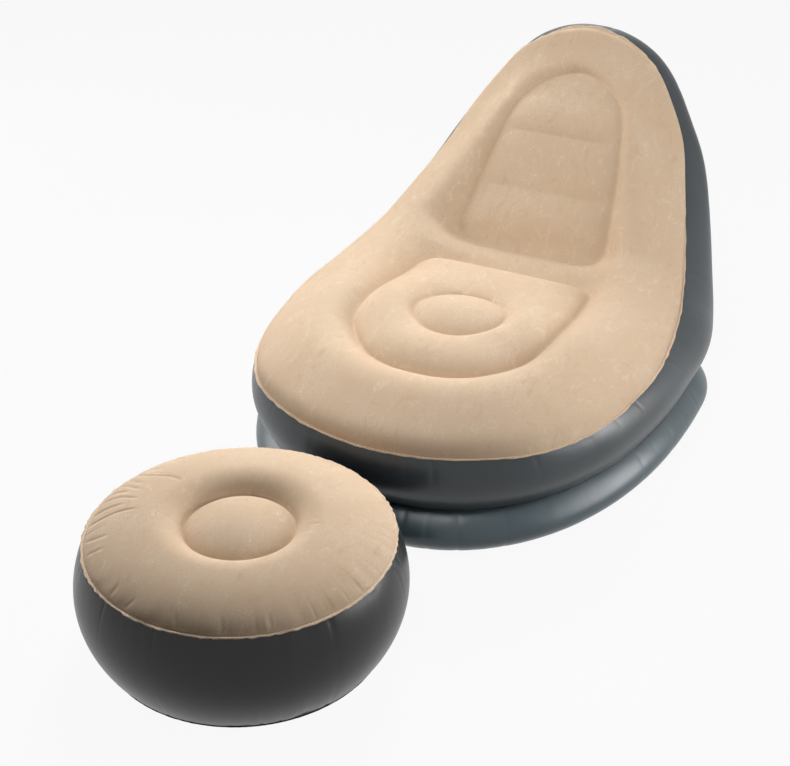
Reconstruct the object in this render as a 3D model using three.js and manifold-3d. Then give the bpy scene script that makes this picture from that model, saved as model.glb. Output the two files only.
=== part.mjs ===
// An inflatable lounge chair with its round footstool, built as the welded vinyl sheets it is made of.
// Millimetres, +Z up. The chair faces -Y. The origin is on the floor, under the middle of the chair's base.
import * as THREE from 'three';
import Module from 'manifold-3d';
import { mergeVertices } from 'three/addons/utils/BufferGeometryUtils.js';

const wasm = await Module();
wasm.setup();

// Sheet stock and welds
const flockedThickness = 0.6;
const vinylThickness = 0.4;
const weldGap = 0.3;
const seamLip = 3.5;

// Lower ring of the chair
const baseWidth = 970;
const baseDepth = 1018;
const baseWidestSetback = 744;
const waistHeight = 105;
const waistFrontInset = 40;
const waistSideInset = 26;
const footInset = 45;
const baseFrontPower = 2.33;
const baseRearPower = 3.3;

// Seam round the flocked top of the chair, as its side view and its outline laid flat
const seamWidth = 876;
const seamDepth = 1273;
const seamRise = 477;
const seatSeamHeight = 250;
const seamFrontSetback = 10;
const seamProfileShares = [
  [0, 0], [0.18, -0.01], [0.352, -0.017], [0.533, -0.008], [0.611, 0.01], [0.69, 0.063],
  [0.776, 0.178], [0.878, 0.356], [0.937, 0.524], [0.972, 0.692], [0.992, 0.839], [1, 1],
];
const seamOutlineShares = [
  [0, 0], [0.36, 0.0185], [0.674, 0.071], [0.809, 0.118], [0.921, 0.19], [0.984, 0.296],
  [0.998, 0.369], [0.976, 0.448], [0.944, 0.514], [0.89, 0.582], [0.808, 0.664], [0.695, 0.766],
  [0.612, 0.839], [0.5, 0.899], [0.375, 0.951], [0.195, 0.987], [0, 1],
];

// Back of the chair: the sheet that runs under the seat and up behind the back rest
const backDepth = 1318;
const backRise = 555;
const backProfileShares = [
  [0, 0], [0.344, 0], [0.6, 0], [0.66, 0], [0.7, 0], [0.715, 0.0015], [0.745, 0.03],
  [0.802, 0.145], [0.862, 0.3], [0.92, 0.49], [0.969, 0.725], [0.992, 0.9], [1, 1],
];
const backOutlineShares = [
  [1, 0.437], [0.988, 0.49], [0.955, 0.54], [0.89, 0.597], [0.81, 0.658], [0.73, 0.725],
  [0.64, 0.8], [0.535, 0.873], [0.435, 0.928], [0.305, 0.974], [0.155, 0.995], [0, 1],
];

// Bulge of the walls, measured out from the straight line between their welds
const wallBulgeHeight = 50;
const wallBulgeShares = [
  [0, 0.58], [0.1, 0.52], [0.2, 0.58], [0.29, 1.06], [0.36, 1.08], [0.43, 0.72], [0.5, 0.54],
];
const baseWallBulge = 45;
const wallArcPower = 0.8;

// Crowned arms and back: the roll between the seam and the weld lines round the two panels
const seatRollHeight = 50;
const armRollHeight = 54;
const backRollHeight = 30;
const rollOuterPower = 0.48;
const rollInnerPower = 1;
const rollCrestShare = 0.48;
const overhangReach = 24;
const overhangShares = [
  [0, 0.35], [0.35, 0.35], [0.58, 0.65], [0.8, 1], [0.92, 1], [0.965, 0.75], [1, 0.2],
];
const overhangPlaceShare = 0.12;

// How far the weld lines and the middle of the roll lie above the plane of the seam, along the length
// of the top laid flat
const weldLevelHeight = 80;
const weldLevelShares = [
  [0, 0.35], [0.12, 0.7], [0.18, 0.76], [0.225, 0.79], [0.27, 0.87], [0.305, 0.88], [0.345, 0.79],
  [0.4, 0.6], [0.44, 0.49], [0.485, 0.42], [0.53, 0.27], [0.58, 0.14], [0.622, 0.46], [0.67, 0.73],
  [0.72, 0.985], [0.756, 1.13], [0.805, 1.225], [0.84, 1.17], [0.875, 0.95], [0.905, 0.7], [1, 0],
];
const rollLevelShares = [
  [0, 0.35], [0.12, 0.7], [0.2, 0.77], [0.28, 0.86], [0.36, 0.76], [0.44, 0.58], [0.52, 0.52],
  [0.6, 0.62], [0.68, 0.82], [0.756, 1.02], [0.82, 1.08], [0.88, 0.9], [0.94, 0.5], [1, 0],
];
const weldSoftness = 2.5;
const panelBlend = 60;

// Panels of the top, laid flat: half widths, and places along the length
const panelsHalfWidth = 226;
const panelsFront = 222;
const panelsLength = 1178;
const panelsOutlineShares = [
  [0, 0], [0.25, 0.0035], [0.53, 0.0255], [0.76, 0.068], [0.905, 0.113], [0.973, 0.157],
  [1, 0.235], [0.99, 0.315], [0.965, 0.385], [0.925, 0.46], [0.865, 0.54], [0.83, 0.605],
  [0.775, 0.694], [0.71, 0.7835], [0.64, 0.87], [0.54, 0.9346], [0.4, 0.966], [0.2, 0.99], [0, 1],
];
const seatPanelRear = 774;
const seatCornerRadius = 58;
const seatPanelRise = 30;
const lumbarPanelFront = 878;
const lumbarCornerRadius = 50;
const lumbarPanelRise = 17;
const panelEdgeRadius = 78;
const panelEdgePower = 0.85;
const buttonPlace = 476;
const buttonRadius = 104;
const buttonLevel = 9;
const buttonRise = 27;
const plumpPower = 0.62;
const lowerChannelPlace = 1030;
const upperChannelPlace = 1194;
const channelEndInset = 32;
const channelEdgeRadius = 62;
const channelDepthShare = 0.66;

// Footstool
const stoolRadius = 321;
const stoolHeight = 274;
const stoolSeamRadius = 295;
const stoolSeamHeight = 226;
const stoolFootRadius = 276;
const stoolCentreRadius = 107;
const stoolCentreLevel = 241;
const stoolCentreRise = 29;
const stoolCrestShare = 0.68;
const stoolOuterPower = 0.68;
const stoolInnerPower = 0.7;
const stoolOffsetX = -94;
const stoolFrontGap = 12;

// Valves
const valveFlangeRadius = 32;
const valveFlangeThickness = 0.8;
const valveNeckRadius = 19;
const valveBoreRadius = 16;
const valveNeckOut = 6;
const valveNeckIn = 14;
const valveBodyTopRadius = 15.6;
const valveBodyFootRadius = 13.4;
const valveBodyDepth = 8;
const valveRimRadius = 18.5;
const valveRimThickness = 1.8;
const valvePortRadius = 9;
const valveFlapRadius = 11.5;
const valveFlapThickness = 0.8;
const valveCapRadius = 12.5;
const valveCapThickness = 1.6;
const valvePlugRadius = 8.7;
const valvePlugFootRadius = 7.6;
const valvePlugDepth = 3;
const valveStrapWidth = 7;
const valveStrapThickness = 1.2;
const valveStrapReach = 7;
const valveEarMargin = 1.5;
const valveTabReach = 6;
const chairValvePlaceShare = 0.748;
const chairValveOffsetX = 0;
const stoolValveHeight = 118;
const stoolValveTurn = 150;

// Webs inside
const airHoleRadius = 15;
const airHoleSpacing = 160;
const airHolePlaceShare = 0.665;
const webOpeningShare = 0.05;
const baseWebPlaceShares = [0.24, 0.5, 0.76];
const baseWebLengthShares = [0.62, 0.84, 0.84];

// Facets
const rowColumns = 10;
const buttonColumnShare = 0.4;
const buttonEndShare = 0.35;
const buttonZoneShare = 1.01;
const halfStations = 27;
const stoolFacets = 40;
const wallRows = 7;
const baseRows = 6;
// Odd counts keep the webs' lines off the sheets' own edges on X = 0
const webFacets = 45;
const channelFacets = 9;
const roundFacets = 32;
const probeDistance = 30;
const cutOverrun = 20;

const halfSeamWidth = seamWidth / 2;
const frontOfBase = -baseDepth / 2;
const halfWaistWidth = baseWidth / 2 - waistSideInset;

// A closed outline, symmetric about X = 0, from the points of its right half
function mirroredLoop(points) {
  const inner = points.slice(1, -1).reverse();
  const left = inner.map((p) => new THREE.Vector3(-p.x, p.y, p.z));
  return new THREE.CatmullRomCurve3([...points, ...left], true, 'centripetal');
}

function openCurve(points) {
  return new THREE.CatmullRomCurve3(points, false, 'centripetal');
}

// A table of place and value shares, read as a smooth function of the place
function shareFunction(table) {
  const curve = openCurve(table.map(([place, value]) => new THREE.Vector3(place, value, 0)));
  const samples = curve.getPoints(table.length * roundFacets);
  return (place) => {
    const after = samples.findIndex((p) => p.x >= place);
    if (after <= 0) return after === 0 ? samples[0].y : samples[samples.length - 1].y;
    const [a, b] = [samples[after - 1], samples[after]];
    return a.y + (b.y - a.y) * (place - a.x) / (b.x - a.x);
  };
}

// A sheet draped over a side view: places on it are an X and a length measured along the side view
class Drape {
  constructor(profile, outline) {
    this.profile = profile;
    this.length = profile.getLength();
    this.outline = outline;
  }

  at(x, along, lift) {
    const share = THREE.MathUtils.clamp(along / this.length, 0, 1);
    const tangent = this.profile.getTangentAt(share);
    const base = this.profile.getPointAt(share);
    return new THREE.Vector3(x, base.y - tangent.z * lift, base.z + tangent.y * lift);
  }

  normal(along) {
    const tangent = this.profile.getTangentAt(THREE.MathUtils.clamp(along / this.length, 0, 1));
    return new THREE.Vector3(0, -tangent.z, tangent.y);
  }

  edge(share, lift) {
    const place = this.outline.getPointAt(share);
    return this.at(place.x, place.y, lift);
  }
}

const seamProfile = openCurve(seamProfileShares.map(([depth, rise]) => new THREE.Vector3(
  0,
  frontOfBase + seamFrontSetback + depth * seamDepth,
  seatSeamHeight + rise * seamRise,
)));
const seamLength = seamProfile.getLength();
const seamOutline = mirroredLoop(seamOutlineShares.map(([width, along]) => new THREE.Vector3(
  width * halfSeamWidth,
  along * seamLength,
  0,
)));
const top = new Drape(seamProfile, seamOutline);

// Outline of the lower ring at a height, drawn in by an inset at the front and at the sides
function ringPoint(angle, frontInset, sideInset) {
  const across = Math.abs(Math.cos(angle));
  const along = Math.abs(Math.sin(angle));
  const isFront = Math.sin(angle) < 0;
  const power = isFront ? baseFrontPower : baseRearPower;
  const reach = (isFront ? baseWidestSetback : baseDepth - baseWidestSetback) - frontInset;
  const halfWidth = baseWidth / 2 - sideInset;
  const x = Math.sign(Math.cos(angle)) * halfWidth * across ** (2 / power);
  const y = Math.sign(Math.sin(angle)) * reach * along ** (2 / power);
  return new THREE.Vector3(x, frontOfBase + baseWidestSetback + y, 0);
}

function ringLoop(frontInset, sideInset) {
  const points = [];
  for (let i = 0; i < roundFacets; i += 1) {
    points.push(ringPoint(-Math.PI / 2 + 2 * Math.PI * i / roundFacets, frontInset, sideInset));
  }
  return new THREE.CatmullRomCurve3(points, true, 'centripetal');
}

const waistLoop = ringLoop(waistFrontInset, waistSideInset);
const footLoop = ringLoop(footInset, footInset);

const backProfile = openCurve(backProfileShares.map(([depth, rise]) => new THREE.Vector3(
  0,
  frontOfBase + waistFrontInset + depth * backDepth,
  waistHeight + rise * backRise,
)));
const backLength = backProfile.getLength();

// The front half of the back sheet's outline is the waist's, and its rear half narrows up the back rest
function backOutlinePoints() {
  const points = [];
  const steps = roundFacets / 4;
  for (let i = 0; i < steps; i += 1) {
    const p = ringPoint(-Math.PI / 2 + Math.PI / 2 * i / steps, waistFrontInset, waistSideInset);
    points.push(new THREE.Vector3(p.x, p.y - frontOfBase - waistFrontInset, 0));
  }
  for (const [width, along] of backOutlineShares) {
    points.push(new THREE.Vector3(width * halfWaistWidth, along * backLength, 0));
  }
  return points;
}

const back = new Drape(backProfile, mirroredLoop(backOutlinePoints()));

// Weld lines of the top, laid flat
const panelsOutline = mirroredLoop(panelsOutlineShares.map(([width, along]) => new THREE.Vector3(
  width * panelsHalfWidth,
  panelsFront + along * panelsLength,
  0,
)));

// The share round a symmetric outline's right half at which it reaches a place along its length
function shareAtPlace(outline, along) {
  let [low, high] = [0, 1 / 2];
  for (let i = 0; i < roundFacets; i += 1) {
    const middle = (low + high) / 2;
    if (outline.getPointAt(middle).y < along) low = middle;
    else high = middle;
  }
  return (low + high) / 2;
}

function halfWidthAtPlace(outline, along) {
  return outline.getPointAt(shareAtPlace(outline, along)).x;
}

// Distance from a place to the nearest side of a closed outline, plus inside
function distanceInside(polygon, x, y) {
  let nearest = Infinity;
  let isInside = false;
  for (let i = 0, j = polygon.length - 1; i < polygon.length; j = i, i += 1) {
    const [a, b] = [polygon[j], polygon[i]];
    const [dx, dy] = [b.x - a.x, b.y - a.y];
    const along = ((x - a.x) * dx + (y - a.y) * dy) / (dx * dx + dy * dy);
    const t = THREE.MathUtils.clamp(along, 0, 1);
    nearest = Math.min(nearest, Math.hypot(x - a.x - t * dx, y - a.y - t * dy));
    if ((a.y > y) !== (b.y > y) && x < a.x + dx * (y - a.y) / dy) isInside = !isInside;
  }
  return isInside ? nearest : -nearest;
}

function polygonOf(outline) {
  return outline.getSpacedPoints(3 * roundFacets).slice(0, -1);
}

const seamPolygon = polygonOf(seamOutline);

// The seat panel is the front of the panels' outline, cut across with two round corners, and the
// lumbar panel is its rear
function panelLoop(isSeat) {
  const cut = isSeat ? seatPanelRear : lumbarPanelFront;
  const radius = isSeat ? seatCornerRadius : lumbarCornerRadius;
  const turn = isSeat ? 1 : -1;
  const cornerAlong = cut - turn * radius;
  const cornerX = halfWidthAtPlace(panelsOutline, cornerAlong) - radius;
  const points = [];
  const pole = isSeat ? panelsFront : panelsFront + panelsLength;
  const steps = roundFacets / 2;
  points.push(new THREE.Vector3(0, pole, 0));
  for (let i = 1; i < steps; i += 1) {
    const along = pole + (cornerAlong - pole) * (1 - Math.cos(Math.PI / 2 * i / steps));
    points.push(new THREE.Vector3(halfWidthAtPlace(panelsOutline, along), along, 0));
  }
  const cornerSteps = roundFacets / 8;
  for (let i = 0; i <= cornerSteps; i += 1) {
    const angle = Math.PI / 2 * i / cornerSteps;
    const x = cornerX + radius * Math.cos(angle);
    points.push(new THREE.Vector3(x, cornerAlong + turn * radius * Math.sin(angle), 0));
  }
  points.push(new THREE.Vector3(0, cut, 0));
  return mirroredLoop(points);
}

const seatLoop = panelLoop(true);
const lumbarLoop = panelLoop(false);
const seatPolygon = polygonOf(seatLoop);
const lumbarPolygon = polygonOf(lumbarLoop);

const weldLevel = shareFunction(weldLevelShares);
const rollLevel = shareFunction(rollLevelShares);
const overhangShare = shareFunction(overhangShares);

// The smaller of two distances, without a crease where they are equal
function softLeast(one, other) {
  const share = THREE.MathUtils.clamp(0.5 + (other - one) / (2 * panelBlend), 0, 1);
  return other + (one - other) * share - panelBlend * share * (1 - share);
}

// A distance from a weld line, with the sharp bottom of its groove rounded off
function rounded(distance) {
  return Math.hypot(distance, weldSoftness) - weldSoftness;
}

// Rise from a weld line: rounded over the given distance, then level
function swell(distance, radius, power = panelEdgePower) {
  const share = THREE.MathUtils.clamp(rounded(distance) / radius, 0, 1);
  return (share * (2 - share)) ** power;
}

// Rise between two weld lines, from the distances to both
function tube(one, other) {
  const sum = rounded(one) + rounded(other);
  const share = sum > 0 ? rounded(one) / sum : 0;
  return (4 * share * (1 - share)) ** plumpPower;
}

// Depth of the cleft that a weld line of some half length leaves in a panel
function channelCleft(x, along, place) {
  const end = halfWidthAtPlace(panelsOutline, place) - channelEndInset;
  const beyond = Math.max(Math.abs(x) - end, 0);
  const distance = Math.hypot(along - place, beyond);
  return 1 - swell(distance, channelEdgeRadius);
}

function rollHeight(along) {
  const share = along / top.length;
  const toArm = THREE.MathUtils.smoothstep(share, 0, 1 / 3);
  const toBack = THREE.MathUtils.smoothstep(share, 1 / 2, 1);
  const arm = THREE.MathUtils.lerp(seatRollHeight, armRollHeight, toArm);
  return THREE.MathUtils.lerp(arm, backRollHeight, toBack);
}

// Height of the roll between the seam and the two panels
function rollLift(x, along, fromPanels) {
  const fromSeam = Math.max(distanceInside(seamPolygon, x, along), 0);
  const share = fromSeam > 0 ? fromSeam / (fromSeam + rounded(fromPanels)) : 0;
  const isOuter = share < rollCrestShare;
  const arm = isOuter ? share / rollCrestShare : (1 - share) / (1 - rollCrestShare);
  const arch = (arm * (2 - arm)) ** (isOuter ? rollOuterPower : rollInnerPower);
  const toWeld = THREE.MathUtils.smoothstep(share, 1 / 4, 1);
  const place = along / top.length;
  const level = weldLevelHeight * THREE.MathUtils.lerp(rollLevel(place), weldLevel(place), toWeld);
  return level * THREE.MathUtils.smoothstep(share, 0, 1) + rollHeight(along) * arch;
}

// Height of the seat panel above its weld line: a plump ring round a plump button
function seatLift(x, along, inSeat) {
  const toButton = Math.hypot(x, along - buttonPlace) - buttonRadius;
  if (toButton < 0) return buttonLevel + buttonRise * swell(-toButton, buttonRadius, plumpPower);
  return seatPanelRise * tube(inSeat, toButton) + buttonLevel * inSeat / (inSeat + toButton);
}

// Height of the lumbar panel above its weld line, with two channels across it
function lumbarLift(x, along, inLumbar) {
  const cleft = Math.max(channelCleft(x, along, lowerChannelPlace), channelCleft(x, along, upperChannelPlace));
  return lumbarPanelRise * swell(inLumbar, panelEdgeRadius) * (1 - channelDepthShare * cleft);
}

// Height of the inflated top above the plane of its seam
function topLift(x, along) {
  const inSeat = distanceInside(seatPolygon, x, along);
  const inLumbar = distanceInside(lumbarPolygon, x, along);
  if (inSeat <= 0 && inLumbar <= 0) return rollLift(x, along, Math.max(softLeast(-inSeat, -inLumbar), 0));
  const level = weldLevelHeight * weldLevel(along / top.length);
  return level + (inSeat > 0 ? seatLift(x, along, inSeat) : lumbarLift(x, along, inLumbar));
}

// How far the roll leans out over the seam, at a place along the top and a share of its width
function overhang(along, share) {
  const swing = share / overhangPlaceShare * Math.exp(1 - share / overhangPlaceShare) * (1 - share);
  return overhangReach * overhangShare(along / top.length) * swing;
}

// A surface is a list of points and of faces that turn left about their outer side
class Surface {
  constructor() {
    this.points = [];
    this.faces = [];
  }

  add(point) {
    this.points.push(point);
    return this.points.length - 1;
  }

  quad(a, b, c, d) {
    this.faces.push([a, b, c], [a, c, d]);
  }

  geometry() {
    const geometry = new THREE.BufferGeometry();
    const positions = this.points.flatMap((p) => p.toArray());
    geometry.setAttribute('position', new THREE.Float32BufferAttribute(positions, 3));
    geometry.setIndex(this.faces.flat());
    geometry.computeVertexNormals();
    return geometry;
  }
}

// Rows of points joined into a surface, closed round the rows when asked
function rowsSurface(rows, isClosed) {
  const surface = new Surface();
  const ids = rows.map((row) => row.map((p) => surface.add(p)));
  for (let j = 0; j + 1 < ids.length; j += 1) {
    const count = ids[j].length;
    for (let i = 0; i < (isClosed ? count : count - 1); i += 1) {
      const next = (i + 1) % count;
      surface.quad(ids[j][i], ids[j + 1][i], ids[j + 1][next], ids[j][next]);
    }
  }
  return surface;
}

// The points of a surface, moved in along its normals
function pointsBelow(surface, depth) {
  const normals = surface.geometry().getAttribute('normal');
  return surface.points.map((p, i) => {
    const normal = new THREE.Vector3().fromBufferAttribute(normals, i);
    return p.clone().addScaledVector(normal, -depth);
  });
}

// A closed body between an outer and an inner set of points that share the same faces
function bodyBetween(outerPoints, innerPoints, faces) {
  const count = outerPoints.length;
  const body = new Surface();
  for (const point of [...outerPoints, ...innerPoints]) body.add(point);
  const edges = new Set();
  for (const [a, b, c] of faces) {
    body.faces.push([a, b, c], [a + count, c + count, b + count]);
    for (const edge of [[a, b], [b, c], [c, a]]) edges.add(edge.join());
  }
  for (const edge of edges) {
    const [a, b] = edge.split(',').map(Number);
    if (!edges.has([b, a].join())) body.quad(b, a, a + count, b + count);
  }
  return body.geometry();
}

// A sheet between two distances below its surface
function sheet(surface, outerDepth, innerDepth) {
  return bodyBetween(pointsBelow(surface, outerDepth), pointsBelow(surface, innerDepth), surface.faces);
}

// Shares round the right half of the outlines: even steps, with the nearest moved to each weld line
function stationShares() {
  const shares = Array.from({ length: halfStations + 1 }, (unused, i) => i / (2 * halfStations));
  const weldPlaces = [
    buttonPlace - buttonRadius, buttonPlace, buttonPlace + buttonRadius, seatPanelRear,
    lumbarPanelFront, lowerChannelPlace, upperChannelPlace,
  ];
  for (const place of weldPlaces) {
    const share = shareAtPlace(panelsOutline, place);
    shares[Math.round(share * 2 * halfStations)] = share;
  }
  return shares;
}

const rightShares = stationShares();
const roundShares = [...rightShares, ...rightShares.slice(1, -1).reverse().map((share) => 1 - share)];

// Place of a column in a row across the panels: even shares, but along the button's edge beside it
function columnPlace(column, halfWidth, along) {
  const share = 2 * column / rowColumns - 1;
  const fromMiddle = Math.abs(along - buttonPlace);
  if (fromMiddle > buttonZoneShare * buttonRadius) return halfWidth * share;
  const chord = Math.sqrt(Math.max(buttonRadius ** 2 - fromMiddle ** 2, (buttonRadius * buttonEndShare) ** 2));
  const size = Math.abs(share);
  if (size < buttonColumnShare) return share / buttonColumnShare * chord;
  const beyond = (size - buttonColumnShare) / (1 - buttonColumnShare);
  return Math.sign(share) * THREE.MathUtils.lerp(chord, halfWidth, beyond);
}

// The top sheet: rings from the lip to the panels' outline, and rows across the panels
function topSheetSurface(raise) {
  const surface = new Surface();
  const last = rightShares.length - 1;
  const ringShares = [0, 0.07, 0.24, 0.48, 0.76, 1];
  const rings = [];
  const step = 1 / roundShares.length;
  rings.push(roundShares.map((share) => {
    const edge = top.edge(share, raise);
    const before = top.edge((share + 1 - step) % 1, 0);
    const after = top.edge((share + step) % 1, 0);
    const tangent = after.sub(before).normalize();
    const out = tangent.cross(top.normal(seamOutline.getPointAt(share).y));
    return surface.add(edge.addScaledVector(out.normalize(), seamLip));
  }));
  for (const ringShare of ringShares) {
    rings.push(roundShares.map((share) => {
      const outer = seamOutline.getPointAt(share);
      const inward = panelsOutline.getPointAt(share).sub(outer);
      const place = outer.clone().addScaledVector(inward, ringShare);
      const lift = topLift(place.x, place.y) * Math.sign(ringShare);
      place.addScaledVector(inward.normalize(), -overhang(outer.y, ringShare));
      return surface.add(top.at(place.x, place.y, lift + raise));
    }));
  }
  const count = roundShares.length;
  for (let j = 0; j + 1 < rings.length; j += 1) {
    for (let i = 0; i < count; i += 1) {
      const next = (i + 1) % count;
      surface.quad(rings[j][i], rings[j][next], rings[j + 1][next], rings[j + 1][i]);
    }
  }
  const inner = rings[rings.length - 1];
  const rowIds = [];
  for (let i = 1; i < last; i += 1) {
    const right = panelsOutline.getPointAt(rightShares[i]);
    const row = [inner[count - i]];
    for (let k = 1; k < rowColumns; k += 1) {
      const x = columnPlace(k, right.x, right.y);
      row.push(surface.add(top.at(x, right.y, topLift(x, right.y) + raise)));
    }
    row.push(inner[i]);
    rowIds.push(row);
  }
  for (let k = 0; k < rowColumns; k += 1) {
    surface.faces.push([inner[0], rowIds[0][k + 1], rowIds[0][k]]);
    for (let i = 0; i + 1 < rowIds.length; i += 1) {
      const corners = [rowIds[i][k], rowIds[i][k + 1], rowIds[i + 1][k + 1], rowIds[i + 1][k]];
      if (k >= rowColumns / 2) corners.push(corners.shift());
      surface.quad(...corners);
    }
    const end = rowIds[rowIds.length - 1];
    surface.faces.push([inner[last], end[k], end[k + 1]]);
  }
  return surface;
}

// A wall between two edges that bulges out from the straight line between them
function bulgedWall(upperEdge, lowerEdge, bulge, rowCount, turns) {
  const rows = [];
  for (let j = 0; j <= rowCount; j += 1) {
    const share = (1 - Math.cos(Math.PI * j / rowCount)) / 2;
    const step = 1 / turns.length;
    const arc = Math.sin(Math.PI * share) ** wallArcPower;
    rows.push(turns.map((turn) => {
      const upper = upperEdge(turn);
      const chord = lowerEdge(turn).sub(upper);
      const ahead = upperEdge((turn + step) % 1);
      const behind = upperEdge((turn + 1 - step) % 1);
      const out = chord.clone().cross(ahead.sub(behind)).normalize();
      return upper.addScaledVector(chord, share).addScaledVector(out, bulge(turn) * arc);
    }));
  }
  return rowsSurface(rows, true);
}

// Solids for cuts and joins
function solidOf(geometry) {
  const bare = geometry.clone();
  bare.deleteAttribute('normal');
  if (bare.getAttribute('uv')) bare.deleteAttribute('uv');
  const merged = mergeVertices(bare);
  return new wasm.Manifold(new wasm.Mesh({
    numProp: 3,
    vertProperties: new Float32Array(merged.getAttribute('position').array),
    triVerts: new Uint32Array(merged.index.array),
  }));
}

function geometryOf(solid) {
  const mesh = solid.getMesh();
  const geometry = new THREE.BufferGeometry();
  geometry.setAttribute('position', new THREE.Float32BufferAttribute(mesh.vertProperties, 3));
  geometry.setIndex(Array.from(mesh.triVerts));
  geometry.computeVertexNormals();
  return geometry;
}

// A turned solid about Z from its closed section of radius and height pairs
function turned(section) {
  const points = [...section, section[0]].map(([radius, height]) => new THREE.Vector2(radius, height));
  return new THREE.LatheGeometry(points, roundFacets);
}

function block(width, depth, height, x, y, z) {
  const geometry = new THREE.BoxGeometry(width, depth, height);
  geometry.translate(x, y, z);
  return geometry;
}

// Materials
const flocked = new THREE.MeshStandardMaterial({ color: '#d0b493', roughness: 0.95, metalness: 0 });
const darkVinyl = new THREE.MeshStandardMaterial({ color: '#3c4145', roughness: 0.45, metalness: 0 });
const webVinyl = new THREE.MeshStandardMaterial({ color: '#565b5e', roughness: 0.5, metalness: 0 });
const valveVinyl = new THREE.MeshStandardMaterial({ color: '#2c2f31', roughness: 0.4, metalness: 0 });

const model = new THREE.Group();

function piece(name, geometry, material, parent) {
  const mesh = new THREE.Mesh(geometry, material);
  mesh.name = name;
  parent.add(mesh);
  return mesh;
}

// Chair sheets
const topSurface = topSheetSurface(0);
piece('chair_top_sheet', sheet(topSurface, 0, flockedThickness), flocked, model);

const wallBulgeShare = shareFunction(wallBulgeShares);
const underTop = -(flockedThickness + weldGap);
const aboveBack = weldGap;
const belowBack = -(vinylThickness + weldGap);
const wallSurface = bulgedWall(
  (turn) => top.edge(turn, underTop),
  (turn) => back.edge(turn, aboveBack),
  (turn) => wallBulgeHeight * wallBulgeShare(Math.min(turn, 1 - turn)),
  wallRows,
  roundShares,
);
piece('chair_side_wall', sheet(wallSurface, 0, vinylThickness), darkVinyl, model);

// The sheet under the seat and behind the back rest, as rows across its outline
function backSheetSurface() {
  const surface = new Surface();
  const rows = rightShares.map((share) => {
    const right = back.outline.getPointAt(share);
    const columns = Array.from({ length: rowColumns + 1 }, (unused, k) => 2 * k / rowColumns - 1);
    return columns.map((column) => back.at(right.x * column, right.y, 0));
  });
  const front = surface.add(rows[0][0]);
  const ids = rows.slice(1, -1).map((row) => row.map((p) => surface.add(p)));
  const rear = surface.add(rows[rows.length - 1][0]);
  for (let k = 0; k < rowColumns; k += 1) {
    surface.faces.push([front, ids[0][k + 1], ids[0][k]]);
    for (let i = 0; i + 1 < ids.length; i += 1) {
      surface.quad(ids[i][k], ids[i][k + 1], ids[i + 1][k + 1], ids[i + 1][k]);
    }
    surface.faces.push([rear, ids[ids.length - 1][k], ids[ids.length - 1][k + 1]]);
  }
  return surface;
}

const backSurface = backSheetSurface();

// Valve frame on the back sheet: its axis points out of the chair
const valveAlong = chairValvePlaceShare * backLength;
const chairValveFrame = new THREE.Group();
chairValveFrame.position.copy(back.at(chairValveOffsetX, valveAlong, -vinylThickness));
chairValveFrame.quaternion.setFromUnitVectors(
  new THREE.Vector3(0, 0, 1),
  back.normal(valveAlong).negate(),
);
chairValveFrame.updateMatrixWorld();

function boreAt(frame, radius, length) {
  const geometry = new THREE.CylinderGeometry(radius, radius, length, roundFacets);
  geometry.rotateX(Math.PI / 2);
  geometry.applyMatrix4(frame.matrixWorld);
  return geometry;
}

const neckHoleRadius = valveNeckRadius + weldGap;

function backSheetSolid() {
  let solid = solidOf(sheet(backSurface, 0, vinylThickness));
  solid = solid.subtract(solidOf(boreAt(chairValveFrame, neckHoleRadius, cutOverrun)));
  for (const side of [-1, 1]) {
    const hole = new THREE.Group();
    hole.position.set(side * airHoleSpacing / 2, frontOfBase + airHolePlaceShare * baseDepth, waistHeight);
    hole.updateMatrixWorld();
    solid = solid.subtract(solidOf(boreAt(hole, airHoleRadius, cutOverrun)));
  }
  return solid;
}

piece('chair_divider_sheet', geometryOf(backSheetSolid()), darkVinyl, model);

// Lower ring
function waistEdge(turn) {
  const place = waistLoop.getPointAt(turn);
  const along = place.y - frontOfBase - waistFrontInset;
  return back.at(place.x, along, belowBack);
}

function footEdge(turn) {
  const place = footLoop.getPointAt(turn);
  return new THREE.Vector3(place.x, place.y, vinylThickness + weldGap);
}

const baseSurface = bulgedWall(waistEdge, footEdge, () => baseWallBulge, baseRows, roundShares);
piece('base_side_wall', sheet(baseSurface, 0, vinylThickness), darkVinyl, model);

function flatSheet(edge, turns) {
  const outline = turns.map((turn) => edge(turn));
  const shape = new THREE.Shape(outline.map((p) => new THREE.Vector2(p.x, p.y)));
  return new THREE.ExtrudeGeometry(shape, { depth: vinylThickness, bevelEnabled: false });
}

piece('base_bottom_sheet', flatSheet(footEdge, roundShares), darkVinyl, model);

// Ties in the lower ring
const baseWebNames = ['base_tie_web_front', 'base_tie_web_middle', 'base_tie_web_rear'];
const baseWebHeight = waistHeight - 2 * (vinylThickness + weldGap);
baseWebNames.forEach((name, i) => {
  const length = baseWidth * baseWebLengthShares[i];
  const place = frontOfBase + baseDepth * baseWebPlaceShares[i];
  piece(name, block(length, vinylThickness, baseWebHeight, 0, place, waistHeight / 2), webVinyl, model);
});

// Webs between the top and the divider sheet: strips that run past both, cut back to the weld gaps
const uncutDivider = new THREE.Mesh(sheet(backSurface, 0, vinylThickness), darkVinyl.clone());
uncutDivider.material.side = THREE.DoubleSide;
const caster = new THREE.Raycaster();

function reach(mesh, origin, direction) {
  caster.set(origin, direction);
  return caster.intersectObject(mesh)[0].point;
}

const aboveWebs = solidOf(bodyBetween(
  topSheetSurface(2 * cutOverrun).points,
  pointsBelow(topSurface, flockedThickness + weldGap),
  topSurface.faces,
));
const belowWebs = solidOf(sheet(backSurface, -weldGap, 2 * cutOverrun));

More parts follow.
